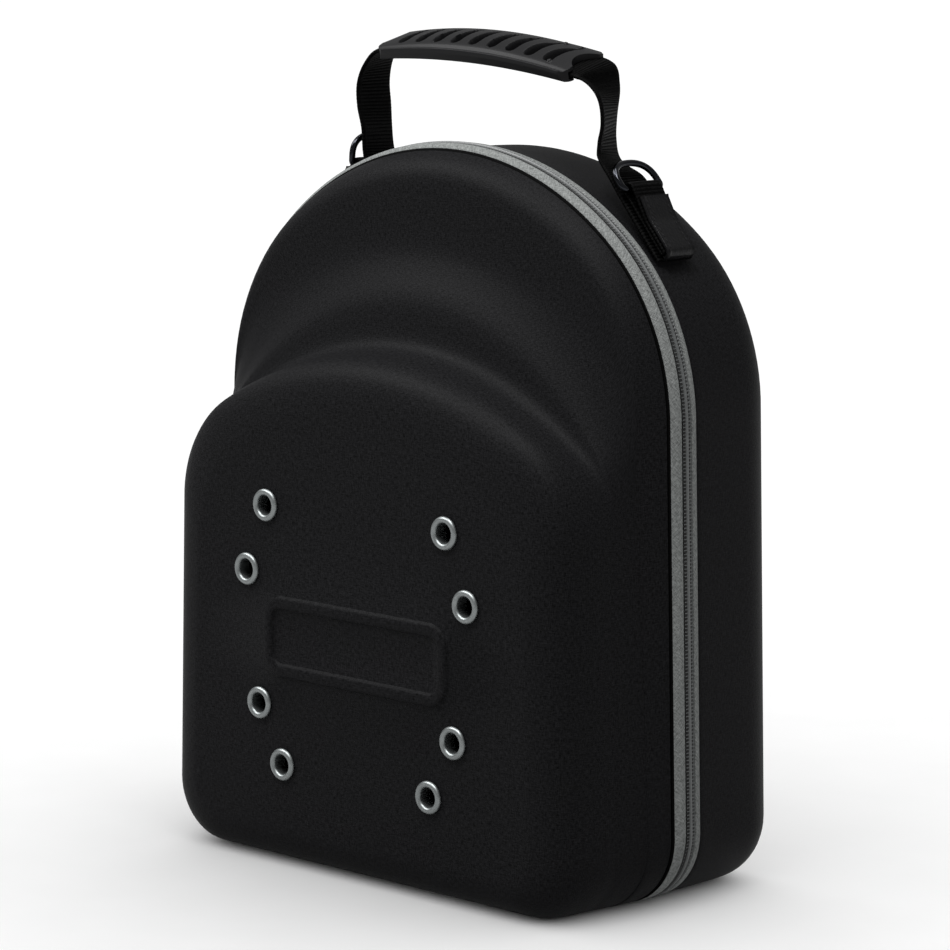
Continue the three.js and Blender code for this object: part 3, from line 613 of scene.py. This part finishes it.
class CARRIER_OT_zip_coil(bpy.types.Operator):
    """Nylon coil of the zip: a bed in painted shade, a row of loops on each side and the joined heads
    between them
    """

    bl_idname = "carrier.zip_coil"
    bl_label = "Zip coil"

    def execute(self, context):
        bm = bmesh.new()
        for corners in (COIL_BED, COIL_HEADS):
            before = set(bm.faces)
            loft(bm, [self.open_line(*corner) for corner in corners + corners[:1]], False)
            for face in set(bm.faces) - before:
                face.material_index = int(corners is COIL_HEADS)
        close_ends(bm)
        for side in (-1, 1):
            before = set(bm.faces)
            self.loops(bm, side)
            for face in set(bm.faces) - before:
                face.material_index = 1
        # Painted shade under the loops: a near-black weave. Then grey nylon monofilament with a soft shine.
        bed = solid("shadowed coil bed", "coil", 0.05, 0.09, 0.8, 0.05, Roughness=0.9)
        nylon = solid("grey nylon coil", "coil", 0.85, 1.15, 1.2, 0.03, Roughness=0.42)
        finish_piece(bm, "coil", ["zip_coil"], [bed, nylon])
        return {"FINISHED"}

    def loops(self, bm, side):
        """A row of coil loops: a band that swells at each loop and sinks into the bed between them."""
        parts = LOOP["parts"]
        crest = even(self.open_line(0, LOOP["inset"], LOOP["inset"]), sizes()["coil"] / parts)
        angles = [math.pi * n / 6 for n in range(7)]
        lines = []
        for k, here in enumerate(crest):
            ahead = Vector(crest[min(k + 1, len(crest) - 1)]) - Vector(crest[max(k - 1, 0)])
            out = ahead.normalized().cross(Vector((0, 1, 0)))
            # Loops of one side stand between those of the other.
            swell = abs(math.sin(math.pi * (k / parts + side / 4))) ** 1.2
            points = []
            for a in angles:
                beside = side * (LOOP["middle"] - LOOP["half_width"] * math.cos(a))
                above = LOOP["height"] * swell * math.sin(a) - LOOP["sunk"]
                points.append(Vector(here) + Vector((0, beside, 0)) + out * above)
            lines.append(points)
        loft(bm, lines, False)

    def open_line(self, y, inset, lift):
        """The line round the case from one end of the hinge strip to the other."""
        ring = zip_line(y, inset, lift)
        upper = [p for p in ring if p.z > ZIP["corner"] or abs(p.x) > COIL_START]
        return [Vector((COIL_START, y, lift)), *upper, Vector((-COIL_START, y, lift))]


class CARRIER_OT_hinge_strip(bpy.types.Operator):
    """Cloth strip that joins the shells under the base"""

    bl_idname = "carrier.hinge_strip"
    bl_label = "Hinge strip"

    def execute(self, context):
        low, high = (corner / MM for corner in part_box("hinge_strip"))
        span = high - low
        bm = bmesh.new()
        place = Matrix.Translation((low + high) / 2) @ Matrix.Diagonal((*span, 1))
        bm.loops.layers.uv.new("mm")
        bmesh.ops.create_cube(bm, size=1, matrix=place)
        soften(bm, bm.edges[:], 0.5, 3)
        layer = bm.loops.layers.uv.get("mm")
        for face in bm.faces:
            for loop in face.loops:
                loop[layer].uv = (loop.vert.co.x, loop.vert.co.y + loop.vert.co.z)
        # Sewn cloth like the shells', painted a little darker as shade under the base.
        cloth = woven("hinge cloth", "shell", 1.0, 0.5, 1.2)
        finish_piece(bm, "hinge", ["hinge_strip"], [cloth])
        return {"FINISHED"}


class CARRIER_OT_zip_slider(bpy.types.Operator):
    """Zip slider with its bridge and its pull"""

    bl_idname = "carrier.zip_slider"
    bl_label = "Zip slider"

    def execute(self, context):
        wide, long, high = SLIDER["width"], SLIDER["length"], SLIDER["height"]
        bm = bmesh.new()
        # Two plates with the gap for the tapes between them, joined by a neck, narrower at the foot.
        for low, top in SLIDER_PLATES:
            made = self.block(bm, (wide, long, top - low), (0, 0, (low + top) / 2), 0.35)
            for vert in made:
                vert.co.x *= 1 - SLIDER["taper"] * (0.5 - vert.co.y / long)
        self.block(bm, (2.6, long * 0.5, high - 0.6), (0, long * 0.2, high / 2), 0.2)
        # Bridge: a bent strap over the top plate that holds the pull's eye.
        arch = [Vector((0, y, z)) for y, z in smooth(BRIDGE, 0.5, 2)]
        lines = []
        for k, point in enumerate(arch):
            ahead = (arch[min(k + 1, len(arch) - 1)] - arch[max(k - 1, 0)]).normalized()
            out = Vector((1, 0, 0)).cross(ahead)
            lines.append([point + Vector((a, 0, 0)) + out * b for a, b in rounded(1.2, 0.5, 0.3)])
        loft(bm, lines, True)
        close_ends(bm)
        self.pull(bm)
        lean = math.radians(SLIDER["lean"])
        to_front, upward = Vector((0, -1, 0)), Vector((math.sin(lean), 0, math.cos(lean)))
        turn = Matrix((to_front, upward, to_front.cross(upward))).transposed().to_4x4()
        place = Matrix.Translation((SLIDER["x"], 0, SLIDER["z"])) @ turn
        bmesh.ops.transform(bm, matrix=place, verts=bm.verts)
        # Gunmetal plated zinc: satin, with faint polishing marks.
        metal = solid("gunmetal plated zinc", "slider", 0.85, 1.15, 1.5, 0.01, Metallic=1.0, Roughness=0.34)
        finish_piece(bm, "slider", ["zip_slider"], [metal])
        return {"FINISHED"}

    def block(self, bm, size, middle, round_by):
        """A box with rounded edges."""
        place = Matrix.Translation(middle) @ Matrix.Diagonal((*size, 1))
        made = bmesh.ops.create_cube(bm, size=1, matrix=place)["verts"]
        cut = soften(bm, list({e for v in made for e in v.link_edges}), round_by, 3)
        return {v for f in cut for v in f.verts}

    def pull(self, bm):
        """A flat pull with a long hole, hanging down from the bridge."""
        part = bmesh.new()
        part.loops.layers.uv.new("mm")
        plate = (PULL["width"] / 2, PULL["length"] / 2, PULL["corner"])
        for shape, y in [(plate, PULL["top"] - PULL["length"] / 2), *PULL_HOLES]:
            verts = [part.verts.new((px, py + y, PULL["height"])) for px, py in rounded(*shape)]
            for a, b in zip(verts, verts[1:] + verts[:1]):
                part.edges.new((a, b))
        bmesh.ops.remove_doubles(part, verts=part.verts, dist=1e-3)
        bmesh.ops.triangle_fill(part, use_beauty=True, edges=part.edges[:])
        bmesh.ops.dissolve_limit(part, angle_limit=0.01, verts=part.verts, edges=part.edges)
        grown = bmesh.ops.extrude_face_region(part, geom=part.faces[:])["geom"]
        raised = [g for g in grown if isinstance(g, bmesh.types.BMVert)]
        bmesh.ops.translate(part, vec=(0, 0, PULL["thickness"]), verts=raised)
        bmesh.ops.recalc_face_normals(part, faces=part.faces)
        soften(part, [e for e in part.edges if e.is_manifold and e.calc_face_angle() > 1.2], 0.3, 2)
        mesh = bpy.data.meshes.new("pull")
        part.to_mesh(mesh)
        part.free()
        bm.from_mesh(mesh)
        bpy.data.meshes.remove(mesh)


class CARRIER_OT_eyelets(bpy.types.Operator):
    """Vent eyelets with rolled rims"""

    bl_idname = "carrier.eyelets"
    bl_label = "Eyelets"

    def execute(self, context):
        # Nickel plated brass: bright with a soft satin, so that the rolled rim shades smoothly.
        nickel = solid("nickel plated brass", "eyelet", 0.9, 1.05, 1.5, 0.01, Metallic=1.0, Roughness=0.42)
        profile = [(EYELET_BARREL[-1][0], EYELET["lift"])]
        for k in range(13):
            a = math.pi * k / 12
            radius, height = EYELET["rim"] + EYELET["roll"] * math.cos(a), EYELET["roll"] * math.sin(a)
            profile.append((radius, EYELET["lift"] + height))
        profile += EYELET_BARREL
        for number, (x, z) in enumerate(eyelet_places(), 1):
            bm = bmesh.new()
            verts = [bm.verts.new((x + r, -FRONT_FACE - h, z)) for r, h in profile]
            for a, b in zip(verts, verts[1:] + verts[:1]):
                bm.edges.new((a, b))
            bmesh.ops.spin(
                bm, geom=bm.verts[:] + bm.edges[:], cent=(x, -FRONT_FACE, z), axis=(0, 1, 0),
                angle=2 * math.pi, steps=40, use_merge=True,
            )
            bmesh.ops.recalc_face_normals(bm, faces=bm.faces)
            finish_piece(bm, f"vent_{number}", [f"eyelet_{number}"], [nickel])
        return {"FINISHED"}


def tab_point(shoulder, along, height, y):
    """A place beside a tab: how far up along it from its start, and how high off the shell."""
    anchor, slope = math.radians(shoulder.anchor), math.radians(shoulder.slope)
    radius = CROWN["radius"]
    x = radius * math.sin(anchor) - along * math.cos(slope) + height * math.sin(slope)
    foot = CROWN["top"] - radius + radius * math.cos(anchor)
    z = foot + along * math.sin(slope) + height * math.cos(slope)
    return Vector((shoulder.side * x, y, z))


def tab_slope(above):
    """Where a line above a tab's webbing bends from its slope to its flat part, and its height there."""
    level = TAB["floor"] + 2 * TAB["fold"] + above
    rise = math.radians(TAB["rise"])
    drop = TAB["bar_height"] + (TAB["eye"] + above) / math.cos(rise) - level
    return TAB["bar"] - drop / math.tan(rise), level


def tab_line(shoulder, points):
    """A line of (along, height) beside a tab, as (x, y, z, turn) with no turn."""
    return [(*tab_point(shoulder, along, height, TAB["y"]), 0.0) for along, height in points]


def even(points, step):
    """Points about every step millimetres along a line."""
    reach = measured(points)
    count = round(reach[-1] / step)
    made, k = [], 0
    for n in range(count + 1):
        where = reach[-1] * n / count
        while k < len(points) - 2 and reach[k + 1] < where:
            k += 1
        share = (where - reach[k]) / max(reach[k + 1] - reach[k], 1e-9)
        made.append(tuple(p + (q - p) * share for p, q in zip(points[k], points[k + 1])))
    return made


def ribbon(width, thickness, bead=0.0):
    """Section of a flat band with round edges, each swollen by bead, as (across, out)."""
    r = thickness / 2
    w = width / 2 - r
    side = [(w * (2 * k / 14 - 1), r) for k in range(14)]
    for k in range(6):
        turn = math.pi * k / 6
        side.append((w + (r + bead) * math.sin(turn), (r + bead) * math.cos(turn)))
    return side + [(-a, -b) for a, b in side]


def band(bm, spine, section, closed=False, step=0.5):
    """Sweeps a band along a spine of (point, across, out). section(k) is its section at the k-th point."""
    lines = []
    for k, (point, across, out) in enumerate(spine):
        lines.append([point + across * a + out * b for a, b in section(k)])
    around = measured([*lines[0], lines[0][0]])
    loft(bm, lines + lines[:1] if closed else lines, True, lambda i, j: (around[i], j * step))
    if closed:
        bmesh.ops.remove_doubles(bm, verts=bm.verts, dist=1e-4)
        bmesh.ops.recalc_face_normals(bm, faces=bm.faces)
    else:
        close_ends(bm)


def webbing_section(width, thickness, pitch, spacing):
    """Sections of ribbed webbing: each rib swells the faces, and the woven edges bulge between the ribs."""
    flat = ribbon(width, thickness)

    def at(k):
        rib = abs(math.sin(math.pi * k * spacing / pitch))
        edge = abs(math.cos(math.pi * k * spacing / pitch))
        made = []
        for a, b in flat:
            near = max(0.0, abs(a) - width / 2 + WOVEN_EDGE) / WOVEN_EDGE
            swell = b * (0.6 + 0.4 * rib)
            across = a + math.copysign(0.3 * near * (edge - 0.6), a)
            made.append((across, swell * (1 - near) + b * near * (0.8 + 0.3 * edge)))
        return made

    return at


def turned_spine(points):
    """Spine of a line of (x, y, z, turn): its width lies along Y, turned about the line by turn degrees."""
    spine = []
    for k, point in enumerate(points):
        here = Vector(point[:3])
        before, after = points[max(k - 1, 0)], points[min(k + 1, len(points) - 1)]
        ahead = (Vector(after[:3]) - Vector(before[:3])).normalized()
        across = Quaternion(ahead, math.radians(point[3])) @ Vector((0, 1, 0))
        across = (across - ahead * across.dot(ahead)).normalized()
        spine.append((here, across, across.cross(ahead)))
    return spine


def webbing_cloth():
    """Cloth of the strap and of the ring tabs."""
    # Ribbed nylon webbing: near black, with painted highlights on the rib tops and painted shade between
    # them.
    rib = sizes()["rib"]
    return woven("ribbed nylon webbing", "webbing", 0.7, 0.1, 5.0, depth=0.1, shine=0.02, rib=rib)


def grip_place():
    """Where the grip sits, with its tilt along the handle and its roll about it."""
    tilt = Matrix.Rotation(math.radians(GRIP["tilt"]), 4, "Y")
    roll = Matrix.Rotation(math.radians(GRIP["roll"]), 4, "X")
    return Matrix.Translation((GRIP["x"], STRAP["y"], GRIP["z"])) @ tilt @ roll


def grip_levels(x):
    """Heights of the grip's underside, strap, rim and crest at x."""
    fill = 1 - min(1.1, abs(x) / GRIP["half"]) ** 2
    return [low + bow * fill for low, bow in GRIP_LEVELS]


class CARRIER_OT_handle_strap(bpy.types.Operator):
    """Webbing strap of the handle, from one shoulder through the grip to the other"""

    bl_idname = "carrier.handle_strap"
    bl_label = "Handle strap"

    def execute(self, context):
        left, right = SHOULDERS
        stations = self.beside(left, STRAP_LEFT_TAB) + self.leg(STRAP_LEFT_LEG)
        for share in STRAP_IN_GRIP:
            x = share * GRIP["half"]
            stations.append((*(grip_place() @ Vector((x, 0, grip_levels(x)[1]))), GRIP["roll"]))
        stations += self.leg(STRAP_RIGHT_LEG) + self.beside(right, STRAP_RIGHT_TAB)
        pitch = sizes()["rib"]
        step = pitch / RIB_PARTS
        spine = turned_spine(even(smooth(stations, 0.5, 3), step))
        bm = bmesh.new()
        band(bm, spine, webbing_section(STRAP["width"], STRAP["thickness"], pitch, step), step=step)
        finish_piece(bm, "strap", ["handle_strap"], [webbing_cloth()], sharp=70)
        return {"FINISHED"}

    def beside(self, shoulder, places):
        """Stations of the strap's end beside a tab."""
        return [(*tab_point(shoulder, along, STRAP["height"], STRAP["y"]), turn) for along, turn in places]

    def leg(self, places):
        """Stations of one leg of the handle."""
        return [(x, STRAP["y"], z, turn) for x, z, turn in places]


class CARRIER_OT_ring_tabs(bpy.types.Operator):
    """Webbing tabs, folded round the bars of the rings"""

    bl_idname = "carrier.ring_tabs"
    bl_label = "Ring tabs"

    def execute(self, context):
        pitch = sizes()["rib"]
        cloth = webbing_cloth()
        half = TAB["layer"] / 2
        knee, level = tab_slope(-half)
        bar, fold = (TAB["bar"], TAB["bar_height"]), (TAB["fold"], TAB["floor"] + TAB["fold"])
        eye, turn = TAB["eye"] - half, 90 + TAB["rise"]
        end = math.radians(turn)
        side = line((fold[0], TAB["floor"] + half), (bar[0], TAB["floor"] + half), 40)
        side += arc(bar, eye, -90, turn, 40)
        side += line((bar[0] + eye * math.cos(end), bar[1] + eye * math.sin(end)), (knee, level), 20)
        side += line((knee, level), (fold[0], level), 20) + arc(fold, TAB["fold"] - half, 90, 270, 20)
        loop = even(side + side[:1], pitch / RIB_PARTS)
        for shoulder in SHOULDERS:
            path = tab_line(shoulder, loop)
            spine = turned_spine(path[-2:-1] + path + path[1:2])[1:-2]
            spacing = math.dist(path[0], path[1])
            # A whole number of ribs goes round.
            rib = spacing * len(spine) / round(spacing * len(spine) / pitch)
            section = webbing_section(TAB["width"], TAB["layer"] + TAB["rib"], rib, spacing)
            bm = bmesh.new()
            band(bm, spine, section, True, spacing * pitch / rib)
            name = shoulder.name
            finish_piece(bm, "tab_" + name, ["ring_tab_" + name], [cloth], sharp=70)
        return {"FINISHED"}


class CARRIER_OT_ring_patches(bpy.types.Operator):
    """Stitched leather patches over the tabs"""

    bl_idname = "carrier.ring_patches"
    bl_label = "Ring patches"

    def execute(self, context):
        above = PATCH["gap"] + PATCH["thickness"] / 2
        knee, level = tab_slope(above)
        rise = math.radians(TAB["rise"])
        top, fold = PATCH["top"], (TAB["fold"], TAB["floor"] + TAB["fold"])
        start = level + (top - knee) * math.tan(rise)
        side = [(top, start), (top * 0.6 + knee * 0.4, start * 0.6 + level * 0.4), (knee, level)]
        side += line((knee - 4, level), (fold[0] + 3, level), 3)
        side += arc(fold, TAB["fold"] + above, 90, PATCH["wrap"], 8)
        side += arc(fold, TAB["fold"] + above, PATCH["wrap"], PATCH["wrap"] + 1, 1)
        path = even(smooth(side, 0.4, 2), 0.5)
        # Coated leather: semi-gloss with a fine pebble, and a matt thread beside its edges.
        leather = solid(
            "coated leather", "leather", 0.8, 1.25, 1.1, 0.08, Roughness=0.34, Specular_IOR_Level=0.1
        )
        thread = solid("waxed thread", "leather", 1.3, 2.2, 0.4, 0.02, Roughness=0.6, Specular_IOR_Level=0.1)
        sewn = [leather, thread]
        for shoulder in SHOULDERS:
            spine = turned_spine(tab_line(shoulder, path))
            last = len(spine) - 1

            def section(k):
                end = max(0.0, 1 - min(k, last - k) / 2.0)
                flat = ribbon(PATCH["width"], PATCH["thickness"], PATCH["bead"])
                return [(a, b * (1 + 0.35 * end)) for a, b in flat]

            bm = bmesh.new()
            band(bm, spine, section)
            self.stitches(bm, spine)
            name = shoulder.name
            finish_piece(bm, "patch_" + name, ["ring_patch_" + name], sewn, sharp=60)
        return {"FINISHED"}

    def stitches(self, bm, spine):
        """A row of stitches beside each long edge."""
        reach = measured([point for point, across, out in spine])
        pitch = sizes()["stitch"]
        outward = 1 if spine[0][2].z > 0 else -1
        for n in range(1, int(reach[-1] / pitch)):
            k = min(range(len(reach)), key=lambda i: abs(reach[i] - n * pitch))
            point, across, out = spine[k]
            out = out * outward
            turned = Matrix((across.cross(out), across, out)).transposed().to_4x4()
            for edge in (-1, 1):
                inset = PATCH["width"] / 2 - PATCH["seam"]
                middle = point + across * edge * inset + out * PATCH["thickness"] / 2
                place = Matrix.Translation(middle) @ turned @ Matrix.Diagonal((pitch * 0.36, 0.28, 0.2, 1))
                made = bmesh.ops.create_uvsphere(bm, u_segments=8, v_segments=5, radius=1, matrix=place)
                for face in {f for v in made["verts"] for f in v.link_faces}:
                    face.material_index = 1


class CARRIER_OT_d_rings(bpy.types.Operator):
    """D-rings of polished wire in the tabs"""

    bl_idname = "carrier.d_rings"
    bl_label = "D-rings"

    def execute(self, context):
        # Gunmetal plated steel: dark and polished, with sharp glints.
        metal = solid("gunmetal plated steel", "ring", 0.9, 1.1, 2.0, 0.004, Metallic=1.0, Roughness=0.14)
        half, reach, corner = RING["half_width"], RING["reach"], RING["corner"]
        straight, (lift, out) = reach * RING["straight"], RING["bow"]
        right = line((0, 0), (half - corner, 0), 12) + arc((half - corner, corner), corner, -90, 0, 8)
        right += line((half, corner), (half, straight), 4)
        bends = ((half, straight), (half, reach * lift), (out, reach), (0, reach))
        for k in range(25):
            t = k / 24
            weights = ((1 - t) ** 3, 3 * t * (1 - t) ** 2, 3 * t * t * (1 - t), t**3)
            right.append(tuple(sum(w * b[axis] for w, b in zip(weights, bends)) for axis in (0, 1)))
        route = right + [(-y, z) for y, z in reversed(right[1:-1])]
        wire = arc((0, 0), RING["wire"], 0, 360, 16)
        for shoulder in SHOULDERS:
            turn = Matrix.Rotation(math.radians(-shoulder.side * (90 - shoulder.ring)), 4, "Y")
            place = Matrix.Translation(tab_point(shoulder, TAB["bar"], TAB["bar_height"], TAB["y"])) @ turn
            spine = []
            for k, (y, z) in enumerate(route):
                (y0, z0), (y1, z1) = route[k - 1], route[(k + 1) % len(route)]
                across = Vector((0, z1 - z0, y0 - y1)).normalized()
                spine.append((Vector((0, y, z)), across, Vector((1, 0, 0))))
            bm = bmesh.new()
            band(bm, spine, lambda k: wire, closed=True)
            bmesh.ops.transform(bm, matrix=place, verts=bm.verts)
            name = shoulder.name
            finish_piece(bm, "wire_" + name, ["d_ring_" + name], [metal], body="ring_" + name)
        return {"FINISHED"}


class CARRIER_OT_handle_grip(bpy.types.Operator):
    """Rubber grip with a rim along each side, swept slots, small pins and scooped ends"""

    bl_idname = "carrier.handle_grip"
    bl_label = "Handle grip"

    def execute(self, context):
        self.depth = sizes()["slot"]
        bm = bmesh.new()
        rows = 330
        lines = [self.section(-1, inward) for inward in (6.0, 2.0, 0.05)]
        lines += [self.section(-1 + 2 * k / rows, 0.0) for k in range(rows + 1)]
        lines += [self.section(1, inward) for inward in (0.05, 2.0, 6.0)]
        loft(bm, lines, True)
        close_ends(bm)
        bmesh.ops.transform(bm, matrix=grip_place(), verts=bm.verts)
        # Moulded rubber: dark grey satin that softly catches the light along its rims.
        rubber = solid(
            "moulded rubber", "rubber", 0.9, 1.12, 0.5, 0.015, Roughness=0.42, Specular_IOR_Level=0.1
        )
        finish_piece(bm, "grip", ["handle_grip"], [rubber], sharp=75)
        return {"FINISHED"}

    def section(self, share, inward):
        """Points round the grip at a share of its half length, or inward of its end and in its tunnel."""
        edge, foot = GRIP["edge"], GRIP["foot"]
        outer = [(foot * (1 - 2 * k / 24), "under", 0.0) for k in range(24)]
        outer += [(-foot - (edge - foot) * k / 12, "skirt", k / 12) for k in range(12)]
        outer += [(-edge * math.cos(math.pi * k / 88), "top", 0.0) for k in range(89)]
        outer += [(edge - (edge - foot) * k / 12, "skirt", 1 - k / 12) for k in range(1, 12)]
        made = []
        for y, part, climb in outer:
            x = share * self.end(y)
            under, strap, rim, crest = grip_levels(x)
            if part == "top":
                lie = min(1.0, abs(y) / edge)
                z = rim + (crest - rim) * math.sqrt(1 - lie * lie)
                z += self.rim_bead(lie) + self.marks(x, y, z - strap)
            else:
                z = under + (rim - under) * climb
            if inward:
                # Inside the mouth the section closes on the strap's tunnel.
                y = max(-TUNNEL["half_width"], min(TUNNEL["half_width"], y))
                x = share * (self.end(y) - inward)
                above = part == "top" or climb > 0.6
                z = grip_levels(x)[1] + (TUNNEL["half_height"] if above else -TUNNEL["half_height"])
            made.append(Vector((x, y, z)))
        return made

    def end(self, y):
        """How far the grip reaches along X: scooped between two horns, where the strap comes out."""
        side = max(0.0, abs(y) - HORN["start"])
        tip = GRIP["half"] - HORN["back"] - HORN["round"] * side * side
        if abs(y) >= SCOOP["half_width"]:
            return tip
        return min(SCOOP["x"] - math.sqrt(SCOOP["radius_squared"] - y * y), tip)

    def rim_bead(self, lie):
        """A low bead where the top meets the side."""
        return sum(height * math.exp(-(((lie - place) / wide) ** 2)) for height, place, wide in RIM_BEAD)

    def marks(self, x, y, cover):
        """Slots cut into the top, and pins standing on it."""
        deep = min(self.depth, cover - SLOT["skin"])
        height = 0.0
        for n in range(SLOT["count"]):
            start = (n - (SLOT["count"] - 1) / 2) * SLOT["pitch"] - SLOT["sweep"] / 3
            apart = self.slot_distance(x - start, y)
            if apart < SLOT["edge"]:
                height = min(height, -deep * min(1.0, (SLOT["edge"] - apart) / (2 * SLOT["edge"])))
        for px, py in PINS:
            apart = math.hypot(x - px, y - py)
            if apart < PIN["reach"]:
                height += PIN["height"] * math.sqrt(max(0.0, 1 - apart**2))
                height -= PIN["ring_depth"] * math.exp(-(((apart - PIN["ring"]) / PIN["ring_width"]) ** 2))
        return height

    def slot_distance(self, x, y):
        """Distance out of a slot: round at the near end, swept to a point at the far end."""
        near, far, width, sweep = SLOT["near"], SLOT["far"], SLOT["width"], SLOT["sweep"]
        if y < near:
            return math.hypot(x - width / 2, y - near) - width / 2
        if y > far:
            return math.hypot(x - sweep, y - far)
        sides = []
        for (bend_x, bend_y), start in zip(SLOT_BENDS, (0.0, width)):
            # Each side is a curve with one bend, and t is how far along it y lies.
            a, b = near - 2 * bend_y + far, 2 * (bend_y - near)
            t = (math.sqrt(max(0.0, b * b + 4 * a * (y - near))) - b) / (2 * a)
            sides.append((1 - t) ** 2 * start + 2 * t * (1 - t) * bend_x + t * t * sweep)
        return 0.85 * max(sides[0] - x, x - sides[1])


class CARRIER_OT_stage(bpy.types.Operator):
    """Pale floor, soft lights and the camera"""

    bl_idname = "carrier.stage"
    bl_label = "Stage"

    def execute(self, context):
        bm = bmesh.new()
        bmesh.ops.create_grid(bm, x_segments=1, y_segments=1, size=30)
        mesh = bpy.data.meshes.new("floor")
        bm.to_mesh(mesh)
        bm.free()
        # Matt paper: nearly white.
        paper = solid("matt paper", "floor", 0.98, 1.0, 40.0, 0.0, Roughness=0.9, Specular_IOR_Level=0.1)
        mesh.materials.append(paper)
        floor = bpy.data.objects.new("floor", mesh)
        context.scene.collection.objects.link(floor)
        # The floor has an even light of its own and the lamps leave it out, so that it stays white.
        for name, place, size, power in LAMPS:
            lamp = self.light(name, place, size, power)
            lamp.light_linking.receiver_collection = self.lit(floor, "EXCLUDE")
        sky = bpy.data.lights.new("floor light", "SUN")
        sky.energy, sky.angle = FLOOR_LIGHT, math.radians(150)
        even_light = bpy.data.objects.new("floor light", sky)
        even_light.light_linking.receiver_collection = self.lit(floor, "INCLUDE")
        context.scene.collection.objects.link(even_light)
        world = bpy.data.worlds.new("white studio")
        world.use_nodes = True
        world.node_tree.nodes["Background"].inputs["Color"].default_value = (1, 1, 1, 1)
        world.node_tree.nodes["Background"].inputs["Strength"].default_value = ROOM_LIGHT
        context.scene.world = world
        context.scene.view_settings.view_transform = "Standard"
        lens = bpy.data.cameras.new("camera")
        lens.lens, lens.sensor_width = CAMERA["lens"], 36.0
        camera = bpy.data.objects.new("camera", lens)
        camera.location = CAMERA["place"]
        camera.rotation_euler = (math.radians(90 - CAMERA["pitch"]), 0, math.radians(CAMERA["turn"]))
        context.scene.collection.objects.link(camera)
        context.scene.camera = camera
        return {"FINISHED"}

    def lit(self, floor, state):
        """What a light shines on: the floor alone, or all but the floor."""
        made = bpy.data.collections.new("lit")
        made.objects.link(floor)
        made.collection_objects[0].light_linking.link_state = state
        return made

    def light(self, name, place, size, power):
        """A soft rectangular light that faces the middle of the carrier."""
        lamp = bpy.data.lights.new(name, "AREA")
        lamp.shape = "RECTANGLE"
        lamp.size, lamp.size_y = size
        lamp.energy = power
        made = bpy.data.objects.new(name, lamp)
        made.location = place
        made.rotation_euler = (LAMP_AIM - Vector(place)).to_track_quat("-Z", "Y").to_euler()
        bpy.context.scene.collection.objects.link(made)
        return made


OPERATORS = (
    CARRIER_OT_front_shell, CARRIER_OT_back_shell, CARRIER_OT_zip_tapes, CARRIER_OT_zip_coil,
    CARRIER_OT_hinge_strip, CARRIER_OT_zip_slider, CARRIER_OT_eyelets, CARRIER_OT_handle_strap,
    CARRIER_OT_ring_tabs, CARRIER_OT_ring_patches, CARRIER_OT_d_rings, CARRIER_OT_handle_grip,
    CARRIER_OT_stage,
)


class CARRIER_PT_panel(bpy.types.Panel):
    """Pieces, sizes and colours of the carrier"""

    bl_idname = "CARRIER_PT_panel"
    bl_label = "Cap carrier"
    bl_space_type = "VIEW_3D"
    bl_region_type = "UI"
    bl_category = "Carrier"

    def draw(self, context):
        for operator in OPERATORS:
            self.layout.operator(operator.bl_idname)
        for group in (context.scene.carrier_sizes, context.scene.carrier_colours):
            for key in group.__annotations__:
                self.layout.prop(group, key)


CLASSES = (CarrierSizes, CarrierColours, *OPERATORS, CARRIER_PT_panel)


def register():
    for cls in CLASSES:
        bpy.utils.register_class(cls)
    bpy.types.Scene.carrier_sizes = PointerProperty(type=CarrierSizes)
    bpy.types.Scene.carrier_colours = PointerProperty(type=CarrierColours)


def unregister():
    del bpy.types.Scene.carrier_colours
    del bpy.types.Scene.carrier_sizes
    for cls in reversed(CLASSES):
        bpy.utils.unregister_class(cls)


def main():
    register()
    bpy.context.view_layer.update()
    for operator in OPERATORS:
        group, name = operator.bl_idname.split(".")
        getattr(getattr(bpy.ops, group), name)()


if __name__ == "__main__":
    main()
